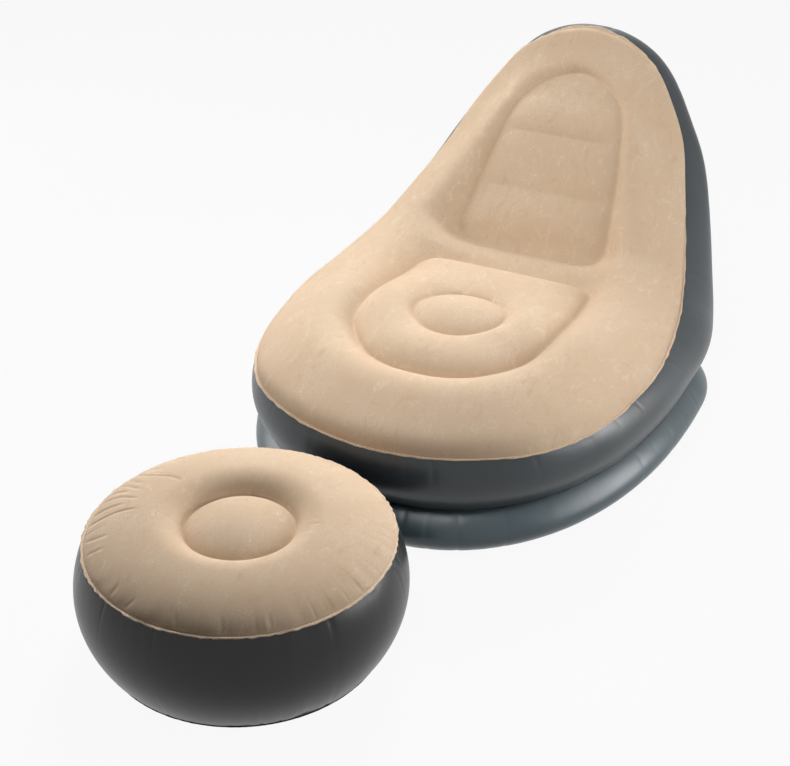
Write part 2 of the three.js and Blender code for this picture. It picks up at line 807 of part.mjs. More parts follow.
function tieWeb(name, places) {
  const rows = [[], []];
  for (const { point, direction } of places) {
    const down = direction.clone().negate();
    const lower = reach(uncutDivider, point, down);
    rows[0].push(point.clone().addScaledVector(direction, probeDistance + cutOverrun));
    rows[1].push(lower.addScaledVector(down, cutOverrun));
  }
  const strip = solidOf(sheet(rowsSurface(rows, false), 0, vinylThickness));
  piece(name, geometryOf(strip.subtract(aboveWebs).subtract(belowWebs)), webVinyl, model);
}

// Places under the top's weld lines, leaving an opening at the loop's start for the air
function placesUnderLoop(loop, count, direction) {
  const places = [];
  for (let i = 0; i <= count; i += 1) {
    const share = webOpeningShare / 2 + (1 - webOpeningShare) * i / count;
    const { x, y } = loop.getPointAt(share);
    const point = top.at(x, y, topLift(x, y) - probeDistance);
    places.push({ point, direction: direction ?? top.normal(y) });
  }
  return places;
}

const up = new THREE.Vector3(0, 0, 1);
tieWeb('seat_outline_web', placesUnderLoop(seatLoop, webFacets, up));

const buttonLoop = {
  getPointAt(share) {
    const angle = 2 * Math.PI * share - Math.PI / 2;
    return new THREE.Vector3(
      buttonRadius * Math.cos(angle),
      buttonPlace + buttonRadius * Math.sin(angle),
      0,
    );
  },
};
tieWeb('seat_button_web', placesUnderLoop(buttonLoop, webFacets, up));
tieWeb('lumbar_outline_web', placesUnderLoop(lumbarLoop, webFacets, null));

function placesUnderChannel(place) {
  const end = halfWidthAtPlace(panelsOutline, place) - channelEndInset;
  const places = [];
  for (let i = 0; i <= channelFacets; i += 1) {
    const x = end * (2 * i / channelFacets - 1);
    const point = top.at(x, place, topLift(x, place) - probeDistance);
    places.push({ point, direction: top.normal(place) });
  }
  return places;
}

tieWeb('lumbar_lower_channel_web', placesUnderChannel(lowerChannelPlace));
tieWeb('lumbar_upper_channel_web', placesUnderChannel(upperChannelPlace));

// Footstool, in its own group with its axis at the group's origin
const stool = new THREE.Group();
stool.position.set(stoolOffsetX, frontOfBase - stoolRadius - stoolFrontGap, 0);
model.add(stool);

function circleEdge(radius, height) {
  return (turn) => {
    const angle = 2 * Math.PI * turn - Math.PI / 2;
    return new THREE.Vector3(radius * Math.cos(angle), radius * Math.sin(angle), height);
  };
}

const stoolTurns = Array.from({ length: stoolFacets }, (unused, i) => i / stoolFacets);

// Height of the footstool's top over its radius: a crowned ring and a domed centre
function stoolTopHeight(radius) {
  if (radius < stoolCentreRadius) {
    const inward = stoolCentreRadius - radius;
    return stoolCentreLevel + stoolCentreRise * swell(inward, stoolCentreRadius, plumpPower);
  }
  const share = (stoolSeamRadius - radius) / (stoolSeamRadius - stoolCentreRadius);
  const isOuter = share < stoolCrestShare;
  const arm = isOuter ? share / stoolCrestShare : (1 - share) / (1 - stoolCrestShare);
  const foot = THREE.MathUtils.lerp(stoolSeamHeight, stoolCentreLevel, share);
  const crest = THREE.MathUtils.lerp(stoolSeamHeight, stoolCentreLevel, stoolCrestShare);
  return foot + (stoolHeight - crest) * (arm * (2 - arm)) ** (isOuter ? stoolOuterPower : stoolInnerPower);
}

function stoolTopSurface() {
  const ringShares = [0, 0.05, 0.17, 0.33, 0.5, 0.7, 0.87, 1];
  const domeShares = [0.8, 0.4];
  const span = stoolSeamRadius - stoolCentreRadius;
  const radii = ringShares.map((share) => stoolSeamRadius - share * span);
  radii.push(...domeShares.map((share) => share * stoolCentreRadius));
  const edges = [circleEdge(stoolSeamRadius + seamLip, stoolSeamHeight)];
  edges.push(...radii.map((radius) => circleEdge(radius, stoolTopHeight(radius))));
  const surface = new Surface();
  const rings = edges.map((edge) => stoolTurns.map((turn) => surface.add(edge(turn))));
  const centre = surface.add(new THREE.Vector3(0, 0, stoolTopHeight(0)));
  for (let i = 0; i < stoolFacets; i += 1) {
    const next = (i + 1) % stoolFacets;
    for (let j = 0; j + 1 < rings.length; j += 1) {
      surface.quad(rings[j][i], rings[j][next], rings[j + 1][next], rings[j + 1][i]);
    }
    const inner = rings[rings.length - 1];
    surface.faces.push([inner[i], inner[next], centre]);
  }
  return surface;
}

piece('stool_top_sheet', sheet(stoolTopSurface(), 0, flockedThickness), flocked, stool);

// The footstool's wall is at its full radius half way up
const stoolWallMiddle = (stoolSeamRadius + stoolFootRadius) / 2;
const stoolWallChord = Math.hypot(stoolSeamHeight, stoolSeamRadius - stoolFootRadius);
const stoolWallBulge = (stoolRadius - stoolWallMiddle) * stoolWallChord / stoolSeamHeight;
const stoolWallSurface = bulgedWall(
  circleEdge(stoolSeamRadius, stoolSeamHeight + underTop),
  circleEdge(stoolFootRadius, vinylThickness + weldGap),
  () => stoolWallBulge,
  wallRows,
  stoolTurns,
);

const stoolValveAngle = THREE.MathUtils.degToRad(stoolValveTurn);
const stoolValveFrame = new THREE.Group();

// The valve's frame is where a level line from the axis meets the wall
function placeStoolValve() {
  const out = new THREE.Vector3(Math.cos(stoolValveAngle), Math.sin(stoolValveAngle), 0);
  const wall = new THREE.Mesh(stoolWallSurface.geometry(), darkVinyl.clone());
  wall.material.side = THREE.DoubleSide;
  const hit = reach(wall, new THREE.Vector3(0, 0, stoolValveHeight), out);
  stoolValveFrame.position.copy(hit);
  stoolValveFrame.quaternion.setFromUnitVectors(new THREE.Vector3(0, 0, 1), out);
  stoolValveFrame.updateMatrixWorld();
}

placeStoolValve();
const stoolWallSolid = solidOf(sheet(stoolWallSurface, 0, vinylThickness))
  .subtract(solidOf(boreAt(stoolValveFrame, neckHoleRadius, cutOverrun)));
piece('stool_side_wall', geometryOf(stoolWallSolid), darkVinyl, stool);

const stoolFootEdge = circleEdge(stoolFootRadius, 0);
piece('stool_bottom_sheet', flatSheet(stoolFootEdge, stoolTurns), darkVinyl, stool);

// The footstool's web runs round under its centre circle, with an opening for the air
const stoolWebEdges = [
  circleEdge(stoolCentreRadius, stoolCentreLevel - flockedThickness - weldGap),
  circleEdge(stoolCentreRadius, vinylThickness + weldGap),
];
const stoolWebTurns = [...stoolTurns.slice(1), 1];
const stoolWebRows = stoolWebEdges.map((edge) => stoolWebTurns.map((turn) => edge(turn + 1 / 2)));
piece(
  'stool_centre_web',
  sheet(rowsSurface(stoolWebRows, false), 0, vinylThickness),
  webVinyl,
  stool,
);

// A valve: the flange follows the sheet that it is welded to
function addValve(prefix, frame, sheetSurface, isOutside, parent) {
  const holder = new THREE.Group();
  holder.position.copy(frame.position);
  holder.quaternion.copy(frame.quaternion);
  parent.add(holder);

  const sign = isOutside ? 1 : -1;
  const skin = isOutside ? 0 : vinylThickness;
  const near = -sign * (skin + weldGap);
  const far = near - sign * valveFlangeThickness;
  const flangeSheet = solidOf(sheet(sheetSurface, Math.min(near, far), Math.max(near, far)));
  const toLocal = frame.matrixWorld.clone().invert();
  const disc = solidOf(boreAt(frame, valveFlangeRadius, cutOverrun));
  const flange = geometryOf(flangeSheet.intersect(disc)).applyMatrix4(toLocal);
  const neck = turned([
    [valveBoreRadius, -valveNeckIn], [valveNeckRadius, -valveNeckIn],
    [valveNeckRadius, valveNeckOut], [valveBoreRadius, valveNeckOut],
  ]);
  const bore = new THREE.CylinderGeometry(valveBoreRadius, valveBoreRadius, 2 * cutOverrun, roundFacets);
  const neckSolid = solidOf(neck.rotateX(Math.PI / 2));
  const boreSolid = solidOf(bore.rotateX(Math.PI / 2));
  const bodyStrapStart = valveRimRadius - valveStrapThickness;
  const bodyStrapEnd = valveRimRadius + valveStrapReach;
  const bodyStrapLength = bodyStrapEnd - bodyStrapStart;
  const earStart = (valveNeckRadius + valveBoreRadius) / 2;
  const earLength = bodyStrapEnd + valveEarMargin - earStart;
  const earFoot = valveFlangeThickness + valveEarMargin;
  const ear = block(
    earLength, valveStrapWidth, valveNeckOut - earFoot,
    -(earStart + earLength / 2), 0, (valveNeckOut + earFoot) / 2,
  );
  const base = solidOf(flange).subtract(boreSolid).add(neckSolid).add(solidOf(ear));
  piece(`${prefix}_valve_base`, geometryOf(base), valveVinyl, holder);

  const rimFoot = valveNeckOut + weldGap;
  const rimTop = rimFoot + valveRimThickness;
  const bodyFoot = valveNeckOut - valveBodyDepth;
  const body = turned([
    [valvePortRadius, bodyFoot], [valveBodyFootRadius, bodyFoot], [valveBodyTopRadius, rimFoot],
    [valveRimRadius, rimFoot], [valveRimRadius, rimTop], [valvePortRadius, rimTop],
  ]).rotateX(Math.PI / 2);
  const strapMiddle = rimTop - valveStrapThickness / 2;
  const bodyStrap = block(
    bodyStrapLength, valveStrapWidth, valveStrapThickness,
    -(bodyStrapStart + bodyStrapEnd) / 2, 0, strapMiddle,
  );
  piece(`${prefix}_valve_body`, geometryOf(solidOf(body).add(solidOf(bodyStrap))), valveVinyl, holder);

  const flapTop = bodyFoot - weldGap;
  const flap = turned([
    [0, flapTop - valveFlapThickness], [valveFlapRadius, flapTop - valveFlapThickness],
    [valveFlapRadius, flapTop], [0, flapTop],
  ]).rotateX(Math.PI / 2);
  piece(`${prefix}_valve_flap`, flap, valveVinyl, holder);

  const capFoot = rimTop + weldGap;
  const capTop = capFoot + valveCapThickness;
  const cap = turned([
    [0, capFoot - valvePlugDepth], [valvePlugFootRadius, capFoot - valvePlugDepth],
    [valvePlugRadius, capFoot], [valveCapRadius, capFoot], [valveCapRadius, capTop], [0, capTop],
  ]).rotateX(Math.PI / 2);
  const tabStart = valveCapRadius - valveStrapThickness;
  const strapLength = valveRimRadius - tabStart;
  const capMiddle = capFoot + valveStrapThickness / 2;
  const capStrap = block(
    strapLength, valveStrapWidth, valveStrapThickness,
    tabStart + strapLength / 2, 0, capMiddle,
  );
  const tabLength = valveTabReach + valveStrapThickness;
  const capTab = block(
    tabLength, valveStrapWidth, valveStrapThickness,
    -(tabStart + tabLength / 2), 0, capMiddle,
  );
  const capSolid = solidOf(cap).add(solidOf(capStrap)).add(solidOf(capTab));
  piece(`${prefix}_valve_cap`, geometryOf(capSolid), valveVinyl, holder);
}

addValve('chair', chairValveFrame, backSurface, false, model);
addValve('stool', stoolValveFrame, stoolWallSurface, true, stool);

export default model;
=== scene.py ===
# %% [markdown]
# # An inflatable lounge chair and its footstool
# The real set is made flat: sheets of soft PVC are welded together along their edges, and air gives
# them their shape. The top sheets are flocked, which means that short fibres are glued on so that the
# vinyl feels like suede. Each visible sheet is a mesh of its own here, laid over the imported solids.
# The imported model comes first, because it fixes where everything is.

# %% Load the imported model
import math

import bmesh
import bpy
import numpy as np
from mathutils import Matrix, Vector


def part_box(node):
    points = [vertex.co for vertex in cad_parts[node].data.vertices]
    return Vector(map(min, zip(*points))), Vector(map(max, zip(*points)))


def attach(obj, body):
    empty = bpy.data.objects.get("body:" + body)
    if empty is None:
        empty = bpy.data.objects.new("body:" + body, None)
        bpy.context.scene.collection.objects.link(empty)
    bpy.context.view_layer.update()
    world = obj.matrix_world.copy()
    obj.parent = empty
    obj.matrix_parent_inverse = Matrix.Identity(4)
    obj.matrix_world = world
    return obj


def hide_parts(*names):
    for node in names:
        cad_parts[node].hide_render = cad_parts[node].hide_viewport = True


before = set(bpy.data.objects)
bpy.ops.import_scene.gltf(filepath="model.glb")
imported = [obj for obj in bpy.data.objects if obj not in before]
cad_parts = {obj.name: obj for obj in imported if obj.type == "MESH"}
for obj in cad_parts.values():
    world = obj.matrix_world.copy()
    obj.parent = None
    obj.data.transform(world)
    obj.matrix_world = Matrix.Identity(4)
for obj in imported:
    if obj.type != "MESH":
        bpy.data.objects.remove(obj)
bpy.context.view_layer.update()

# %% [markdown]
# ## Sizes
# These are the sizes that the solids were made from, in metres. The tables give shares of a size:
# the first number says where, and the second says how much. Keeping them as shares means that the
# whole shape follows when one size changes.

# %% Sizes of the chair
MM = 0.001
BASE_WIDTH, BASE_DEPTH, BASE_WIDEST = 970 * MM, 1018 * MM, 744 * MM
WAIST_HEIGHT, WAIST_FRONT_INSET, WAIST_SIDE_INSET, FOOT_INSET = 105 * MM, 40 * MM, 26 * MM, 45 * MM
FRONT_OF_BASE = -BASE_DEPTH / 2
BASE_FRONT_POWER, BASE_REAR_POWER = 2.33, 3.3

SEAM_WIDTH, SEAM_DEPTH, SEAM_RISE = 876 * MM, 1273 * MM, 477 * MM
SEAM_HEIGHT, SEAM_SETBACK = 250 * MM, 10 * MM
SEAM_PROFILE = [
    (0, 0), (0.18, -0.01), (0.352, -0.017), (0.533, -0.008), (0.611, 0.01), (0.69, 0.063),
    (0.776, 0.178), (0.878, 0.356), (0.937, 0.524), (0.972, 0.692), (0.992, 0.839), (1, 1),
]
SEAM_OUTLINE = [
    (0, 0), (0.36, 0.0185), (0.674, 0.071), (0.809, 0.118), (0.921, 0.19), (0.984, 0.296),
    (0.998, 0.369), (0.976, 0.448), (0.944, 0.514), (0.89, 0.582), (0.808, 0.664), (0.695, 0.766),
    (0.612, 0.839), (0.5, 0.899), (0.375, 0.951), (0.195, 0.987), (0, 1),
]
BACK_DEPTH, BACK_RISE = 1318 * MM, 555 * MM
BACK_PROFILE = [
    (0, 0), (0.344, 0), (0.6, 0), (0.66, 0), (0.7, 0), (0.715, 0.0015), (0.745, 0.03),
    (0.802, 0.145), (0.862, 0.3), (0.92, 0.49), (0.969, 0.725), (0.992, 0.9), (1, 1),
]
BACK_OUTLINE = [
    (1, 0.437), (0.988, 0.49), (0.955, 0.54), (0.89, 0.597), (0.81, 0.658), (0.73, 0.725),
    (0.64, 0.8), (0.535, 0.873), (0.435, 0.928), (0.305, 0.974), (0.155, 0.995), (0, 1),
]
print("seat seam", SEAM_WIDTH, "m wide, back rest", SEAM_RISE + SEAM_HEIGHT, "m high")

# %% [markdown]
# ### Sizes of the welded panels
# One outline holds both raised panels, the one in the seat and the one behind the back. The level of
# the weld lines changes along the sheet, and so does the level that the roll round them starts from.

# %% Sizes of the welded panels in the top
PANELS_HALF_WIDTH, PANELS_FRONT, PANELS_LENGTH = 226 * MM, 222 * MM, 1178 * MM
PANELS_OUTLINE = [
    (0, 0), (0.25, 0.0035), (0.53, 0.0255), (0.76, 0.068), (0.905, 0.113), (0.973, 0.157),
    (1, 0.235), (0.99, 0.315), (0.965, 0.385), (0.925, 0.46), (0.865, 0.54), (0.83, 0.605),
    (0.775, 0.694), (0.71, 0.7835), (0.64, 0.87), (0.54, 0.9346), (0.4, 0.966), (0.2, 0.99), (0, 1),
]
SEAT_REAR, SEAT_CORNER = 774 * MM, 58 * MM
LUMBAR_FRONT, LUMBAR_CORNER = 878 * MM, 50 * MM
BUTTON_PLACE, BUTTON_RADIUS = 476 * MM, 104 * MM
LOWER_CHANNEL, UPPER_CHANNEL, CHANNEL_END = 1030 * MM, 1194 * MM, 32 * MM
WELD_LEVEL_HEIGHT = 80 * MM
WELD_LEVEL = [
    (0, 0.35), (0.12, 0.7), (0.18, 0.76), (0.225, 0.79), (0.27, 0.87), (0.305, 0.88), (0.345, 0.79),
    (0.4, 0.6), (0.44, 0.49), (0.485, 0.42), (0.53, 0.27), (0.58, 0.14), (0.622, 0.46), (0.67, 0.73),
    (0.72, 0.985), (0.756, 1.13), (0.805, 1.225), (0.84, 1.17), (0.875, 0.95), (0.905, 0.7), (1, 0),
]
ROLL_LEVEL = [
    (0, 0.35), (0.12, 0.7), (0.2, 0.77), (0.28, 0.86), (0.36, 0.76), (0.44, 0.58), (0.52, 0.52),
    (0.6, 0.62), (0.68, 0.82), (0.756, 1.02), (0.82, 1.08), (0.88, 0.9), (0.94, 0.5), (1, 0),
]
SEAT_ROLL, ARM_ROLL, BACK_ROLL = 50 * MM, 54 * MM, 30 * MM
ROLL_CREST, ROLL_OUTER_POWER, ROLL_INNER_POWER = 0.48, 0.48, 1.0
OVERHANG_REACH, OVERHANG_PLACE = 24 * MM, 0.12
OVERHANG = [(0, 0.35), (0.35, 0.35), (0.58, 0.65), (0.8, 1), (0.92, 1), (0.965, 0.75), (1, 0.2)]
SEAT_RISE, BUTTON_LEVEL, BUTTON_RISE, LUMBAR_RISE = 30 * MM, 9 * MM, 27 * MM, 17 * MM
PANEL_EDGE, CHANNEL_EDGE = 78 * MM, 62 * MM
print("button", 2 * BUTTON_RADIUS, "m across; channels at", LOWER_CHANNEL, "and", UPPER_CHANNEL)

# %% [markdown]
# ## Curves
# Every outline is a smooth curve through a few points. A Catmull-Rom spline passes through its points,
# so the points can be read off the object. The centripetal kind doesn't loop between points that are
# unevenly spaced. The curve is kept as a fine chain of samples with the length up to each of them.


# %% A smooth curve through points, with its lengths
def spline(points, closed=False, steps=48):
    """Samples of a centripetal Catmull-Rom curve through points, and the length up to each sample."""
    p = np.asarray(points, float)
    if closed:
        p = np.vstack([p[-1], p, p[:2]])
    else:
        p = np.vstack([2 * p[0] - p[1], p, 2 * p[-1] - p[-2]])
    pieces = []
    for a, b, c, d in zip(p, p[1:], p[2:], p[3:]):
        t1 = np.linalg.norm(b - a) ** 0.5
        t2 = t1 + np.linalg.norm(c - b) ** 0.5
        t3 = t2 + np.linalg.norm(d - c) ** 0.5
        t = np.linspace(t1, t2, steps, endpoint=False)[:, None]
        ab = (t1 - t) / t1 * a + t / t1 * b
        bc = (t2 - t) / (t2 - t1) * b + (t - t1) / (t2 - t1) * c
        cd = (t3 - t) / (t3 - t2) * c + (t - t2) / (t3 - t2) * d
        abc = (t2 - t) / t2 * ab + t / t2 * bc
        bcd = (t3 - t) / (t3 - t1) * bc + (t - t1) / (t3 - t1) * cd
        pieces.append((t2 - t) / (t2 - t1) * abc + (t - t1) / (t2 - t1) * bcd)
    pieces.append(p[-2:-1])
    samples = np.vstack(pieces)
    lengths = np.concatenate([[0], np.cumsum(np.linalg.norm(np.diff(samples, axis=0), axis=1))])
    return samples, lengths


def point_at(curve, shares):
    """Points of a curve at shares of its length."""
    samples, lengths = curve
    where = np.asarray(shares, float) * lengths[-1]
    return np.stack([np.interp(where, lengths, column) for column in samples.T], -1)


def mirrored(points):
    """A closed curve from the points of its right half."""
    right = np.asarray(points, float)
    left = right[-2:0:-1] * (-1, 1)
    return spline(np.vstack([right, left]), closed=True)


def table(pairs):
    """A table of shares read as a smooth function."""
    samples, _ = spline(pairs)
    return lambda place: np.interp(place, samples[:, 0], samples[:, 1])


_, seam_lengths = spline(np.array(SEAM_PROFILE) * (SEAM_DEPTH, SEAM_RISE))
print("length of the seam's side view:", round(seam_lengths[-1], 3))

# %% [markdown]
# ## Draping a flat outline over a side view
# The top sheet is cut flat and then bends up from the seat to the back rest. So a place on it is given
# by two numbers, as on the flat sheet: how far it is from the middle, and how far along. The side view
# then says where that is in the room, and "lift" is the height above the sheet, at right angles to it.


# %% A sheet that is draped over a side view
class Drape:
    def __init__(self, profile, outline):
        self.samples, self.lengths = spline(profile)
        self.length = self.lengths[-1]
        slope = np.gradient(self.samples, self.lengths, axis=0)
        soft = np.hanning(41)
        wide = np.pad(slope, ((20, 20), (0, 0)), mode="edge")
        slope = np.stack([np.convolve(column, soft / soft.sum(), "valid") for column in wide.T], -1)
        self.slope = slope / np.linalg.norm(slope, axis=1)[:, None]
        self.outline = mirrored(outline(self.length))

    def normal(self, along):
        dy, dz = (np.interp(along, self.lengths, column) for column in self.slope.T)
        return np.stack([np.zeros_like(dy), -dz, dy], -1)

    def at(self, x, along, lift):
        y, z = (np.interp(along, self.lengths, column) for column in self.samples.T)
        x = np.broadcast_to(x, np.shape(along))
        return np.stack([x, y, z], -1) + self.normal(along) * np.asarray(lift)[..., None]

    def edge(self, turns, lift=0.0):
        place = point_at(self.outline, turns)
        return self.at(place[:, 0], place[:, 1], lift)


def scaled(shares, across, along):
    return [(a * across, b * along) for a, b in shares]


front_of_seam = FRONT_OF_BASE + SEAM_SETBACK
top = Drape(
    [(front_of_seam + a * SEAM_DEPTH, SEAM_HEIGHT + b * SEAM_RISE) for a, b in SEAM_PROFILE],
    lambda length: scaled(SEAM_OUTLINE, SEAM_WIDTH / 2, length),
)
print("top sheet:", round(top.length, 3), "m long when laid flat")


# %% [markdown]
# ### The lower ring and the back sheet
# Seen from above, the lower ring is egg-like: blunt at the front and squarer at the rear. The sheet
# that closes the seat's chamber from below is welded to it at the waist, and then runs up behind the
# back rest. So the outline of that sheet is the waist in front and a table of shares behind.


# %% The lower ring's outline, and the sheet that runs under the seat and up the back
def ring_points(angles, front_inset, side_inset):
    """Points of the lower ring's outline, inside it by two insets."""
    across, along = np.cos(angles), np.sin(angles)
    front = along < 0
    power = np.where(front, BASE_FRONT_POWER, BASE_REAR_POWER)
    reach = np.where(front, BASE_WIDEST, BASE_DEPTH - BASE_WIDEST) - front_inset
    x = np.sign(across) * (BASE_WIDTH / 2 - side_inset) * np.abs(across) ** (2 / power)
    y = np.sign(along) * reach * np.abs(along) ** (2 / power)
    return np.stack([x, FRONT_OF_BASE + BASE_WIDEST + y], -1)


def ring_curve(front_inset, side_inset):
    angles = -math.pi / 2 + 2 * math.pi * np.arange(32) / 32
    return spline(ring_points(angles, front_inset, side_inset), closed=True)


front_of_waist = FRONT_OF_BASE + WAIST_FRONT_INSET


def back_outline(length):
    angles = -math.pi / 2 + math.pi / 2 * np.arange(8) / 8
    front = ring_points(angles, WAIST_FRONT_INSET, WAIST_SIDE_INSET)
    front[:, 1] -= front_of_waist
    return [*map(tuple, front), *scaled(BACK_OUTLINE, BASE_WIDTH / 2 - WAIST_SIDE_INSET, length)]


waist_curve = ring_curve(WAIST_FRONT_INSET, WAIST_SIDE_INSET)
foot_curve = ring_curve(FOOT_INSET, FOOT_INSET)
back = Drape(
    [(front_of_waist + a * BACK_DEPTH, WAIST_HEIGHT + b * BACK_RISE) for a, b in BACK_PROFILE],
    back_outline,
)
panels_outline = mirrored(
    [(a * PANELS_HALF_WIDTH, PANELS_FRONT + b * PANELS_LENGTH) for a, b in PANELS_OUTLINE]
)
print("back sheet:", round(back.length, 3), "m long when laid flat")


# %% [markdown]
# ## The relief of the top
# Webs inside the chair hold the top sheet down along the weld lines, and the air pushes it up between
# them. So the height of the top is a function of how far a place is from the nearest weld line. The
# weld lines are an outline of the seat panel, an outline of the lumbar panel, a round button in the
# seat and two straight channels in the back rest.


# %% Distances from weld lines
def polygon(curve, count=288):
    return point_at(curve, np.arange(count) / count)


def distance_inside(corners, x, y):
    """Distance to the nearest side of a polygon, plus inside it and minus outside it."""
    best = np.full(np.shape(x), np.inf)
    inside = np.zeros(np.shape(x), bool)
    for (ax, ay), (bx, by) in zip(corners, np.roll(corners, -1, axis=0)):
        dx, dy = bx - ax, by - ay
        t = np.clip(((x - ax) * dx + (y - ay) * dy) / (dx * dx + dy * dy), 0, 1)
        best = np.minimum(best, np.hypot(x - ax - t * dx, y - ay - t * dy))
        if ay != by:
            inside ^= ((ay > y) != (by > y)) & (x < ax + dx * (y - ay) / dy)
    return np.where(inside, best, -best)


def half_width(along):
    """Half the width of the panels' outline at a place along it."""
    samples, _ = panels_outline
    right = samples[: len(samples) // 2 + 1]
    return np.interp(along, right[:, 1], right[:, 0])


def panel_curve(is_seat):
    """The front or the rear part of the panels' outline, cut across with two round corners."""
    cut, radius, turn = (SEAT_REAR, SEAT_CORNER, 1) if is_seat else (LUMBAR_FRONT, LUMBAR_CORNER, -1)
    corner = cut - turn * radius
    corner_x = half_width(corner) - radius
    pole = PANELS_FRONT if is_seat else PANELS_FRONT + PANELS_LENGTH
    angles = math.pi / 2 * np.arange(1, 16) / 16
    sides = pole + (corner - pole) * (1 - np.cos(angles))
    points = [(0, pole), *zip(half_width(sides), sides)]
    for angle in math.pi / 2 * np.arange(5) / 4:
        points.append((corner_x + radius * math.cos(angle), corner + turn * radius * math.sin(angle)))
    return mirrored([*points, (0, cut)])


seat_curve, lumbar_curve = panel_curve(True), panel_curve(False)
seam_polygon = polygon(top.outline)
seat_polygon, lumbar_polygon = polygon(seat_curve), polygon(lumbar_curve)
print("seat panel, width:", round(float(np.ptp(seat_polygon[:, 0])), 3))


# %% [markdown]
# ### Height above the seam
# Beside a weld line the sheet rises steeply and then levels off, and between two welds it makes a
# tube. The outer roll meets the seam almost upright. Where two weld lines are equally near, a soft
# minimum joins their slopes without a crease. Each channel across the back is a cleft in its panel.


# %% Height of the top above its seam
weld_level = table(WELD_LEVEL)
roll_level = table(ROLL_LEVEL)
WELD_SOFTNESS, BLEND = 2.5 * MM, 60 * MM


def smooth_step(value, low, high):
    share = np.clip((value - low) / (high - low), 0, 1)
    return share * share * (3 - 2 * share)


def soft_least(one, other, blend):
    """The smaller of two distances, without a crease where they are equal."""
    share = np.clip(0.5 + (other - one) / (2 * blend), 0, 1)
    return other + (one - other) * share - blend * share * (1 - share)


def rounded(distance):
    """A distance from a weld line, with the sharp bottom of its groove rounded off."""
    return np.sqrt(distance**2 + WELD_SOFTNESS**2) - WELD_SOFTNESS


def swell(distance, radius, power=0.85):
    """Rise beside a weld line: steep at the line, then level."""
    share = np.clip(rounded(distance) / radius, 0, 1)
    return (share * (2 - share)) ** power


def tube(one, other, power=0.62):
    """Rise between two weld lines, from the distances to both."""
    share = rounded(one) / np.maximum(rounded(one) + rounded(other), 1e-6)
    return (4 * share * (1 - share)) ** power


def roll_height(along):
    share = along / top.length
    arm = SEAT_ROLL + (ARM_ROLL - SEAT_ROLL) * smooth_step(share, 0, 1 / 3)
    return arm + (BACK_ROLL - arm) * smooth_step(share, 1 / 2, 1)


def channel_cleft(x, along, place):
    beyond = np.maximum(np.abs(x) - half_width(place) + CHANNEL_END, 0)
    return 1 - swell(np.hypot(along - place, beyond), CHANNEL_EDGE)


def top_lift(x, along):
    """Height of the inflated top above the plane of its seam."""
    level = WELD_LEVEL_HEIGHT * weld_level(along / top.length)
    in_seat = distance_inside(seat_polygon, x, along)
    in_lumbar = distance_inside(lumbar_polygon, x, along)
    from_panels = np.maximum(soft_least(-in_seat, -in_lumbar, BLEND), 0)
    from_seam = np.maximum(distance_inside(seam_polygon, x, along), 0)
    share = np.clip(from_seam / np.maximum(from_seam + rounded(from_panels), 1e-6), 0, 1)
    outer = share < ROLL_CREST
    arm = np.where(outer, share / ROLL_CREST, (1 - share) / (1 - ROLL_CREST))
    arch = (arm * (2 - arm)) ** np.where(outer, ROLL_OUTER_POWER, ROLL_INNER_POWER)
    wide = WELD_LEVEL_HEIGHT * roll_level(along / top.length)
    under = wide + (level - wide) * smooth_step(share, 0.25, 1)
    roll = under * smooth_step(share, 0, 1) + roll_height(along) * arch

    radius = np.hypot(x, along - BUTTON_PLACE)
    to_button = radius - BUTTON_RADIUS
    inside, outside = np.maximum(in_seat, 0), np.maximum(to_button, 0)
    ring = SEAT_RISE * tube(inside, outside)
    ring = ring + BUTTON_LEVEL * inside / np.maximum(inside + outside, 1e-6)
    disc = BUTTON_LEVEL + BUTTON_RISE * swell(np.maximum(-to_button, 0), BUTTON_RADIUS, 0.62)
    seat = level + np.where(to_button > 0, ring, disc)

    clefts = np.maximum(channel_cleft(x, along, LOWER_CHANNEL), channel_cleft(x, along, UPPER_CHANNEL))
    lumbar = level + LUMBAR_RISE * swell(np.maximum(in_lumbar, 0), PANEL_EDGE) * (1 - 0.66 * clefts)
    return np.where(in_seat > 0, seat, np.where(in_lumbar > 0, lumbar, roll))


crown = top_lift(np.array([0.0, 0.0, 0.3]), np.array([BUTTON_PLACE, 1.18, 0.6]))
print("height of the button, the lumbar panel and the arm:", crown.round(3))

# %% [markdown]
# ## Small folds
# Welded vinyl never lies quite smooth: where the sheet turns in to a weld it gathers into short folds
# at right angles to the line. Random numbers would change at each run, so the folds come from a fixed
# seed. The noise is made of values round a circle, joined smoothly, so that it has no start or end.


# %% Folds that run out from a weld line
def noise_round(turns, count, seed):
    """Smooth noise from -1 to 1 round a closed line, with about count waves."""
    values = np.random.default_rng(seed).uniform(-1, 1, count)
    place = (np.asarray(turns) % 1) * count
    first = np.floor(place).astype(int) % count
    share = smooth_step(place - np.floor(place), 0, 1)
    return values[first] * (1 - share) + values[(first + 1) % count] * share


def folds(turns, count, seed, sharpness=3):
    """Sparse ridges, from 0 to 1."""
    return np.clip(noise_round(turns, count, seed), 0, 1) ** sharpness


folded = folds(np.linspace(0, 1, 2000), 240, 5) > 0.1
print("share of the seam that is folded:", round(float(folded.mean()), 2))

# %% [markdown]
# ## From numbers to meshes
# A grid is the plainest way to make a curved sheet: Blender makes it flat, and each corner is moved to
# its place. Where a grid closes on itself, or runs to a point, its doubled corners are merged. A sheet
# that has only one side still needs its faces to point outwards, so they are compared with the
# direction to a point inside, and turned if they point the wrong way.


# %% Grids moved into shape
def add_grid(mesh, points):
    """Adds a grid whose corner in row i and column j is moved to points[i, j]."""
    rows, columns = points.shape[:2]
    made = bmesh.ops.create_grid(mesh, x_segments=columns - 1, y_segments=rows - 1, size=0.5)
    for vert in made["verts"]:
        j = round((vert.co.x + 0.5) * (columns - 1))
        i = round((vert.co.y + 0.5) * (rows - 1))
        vert.co = points[i, j]


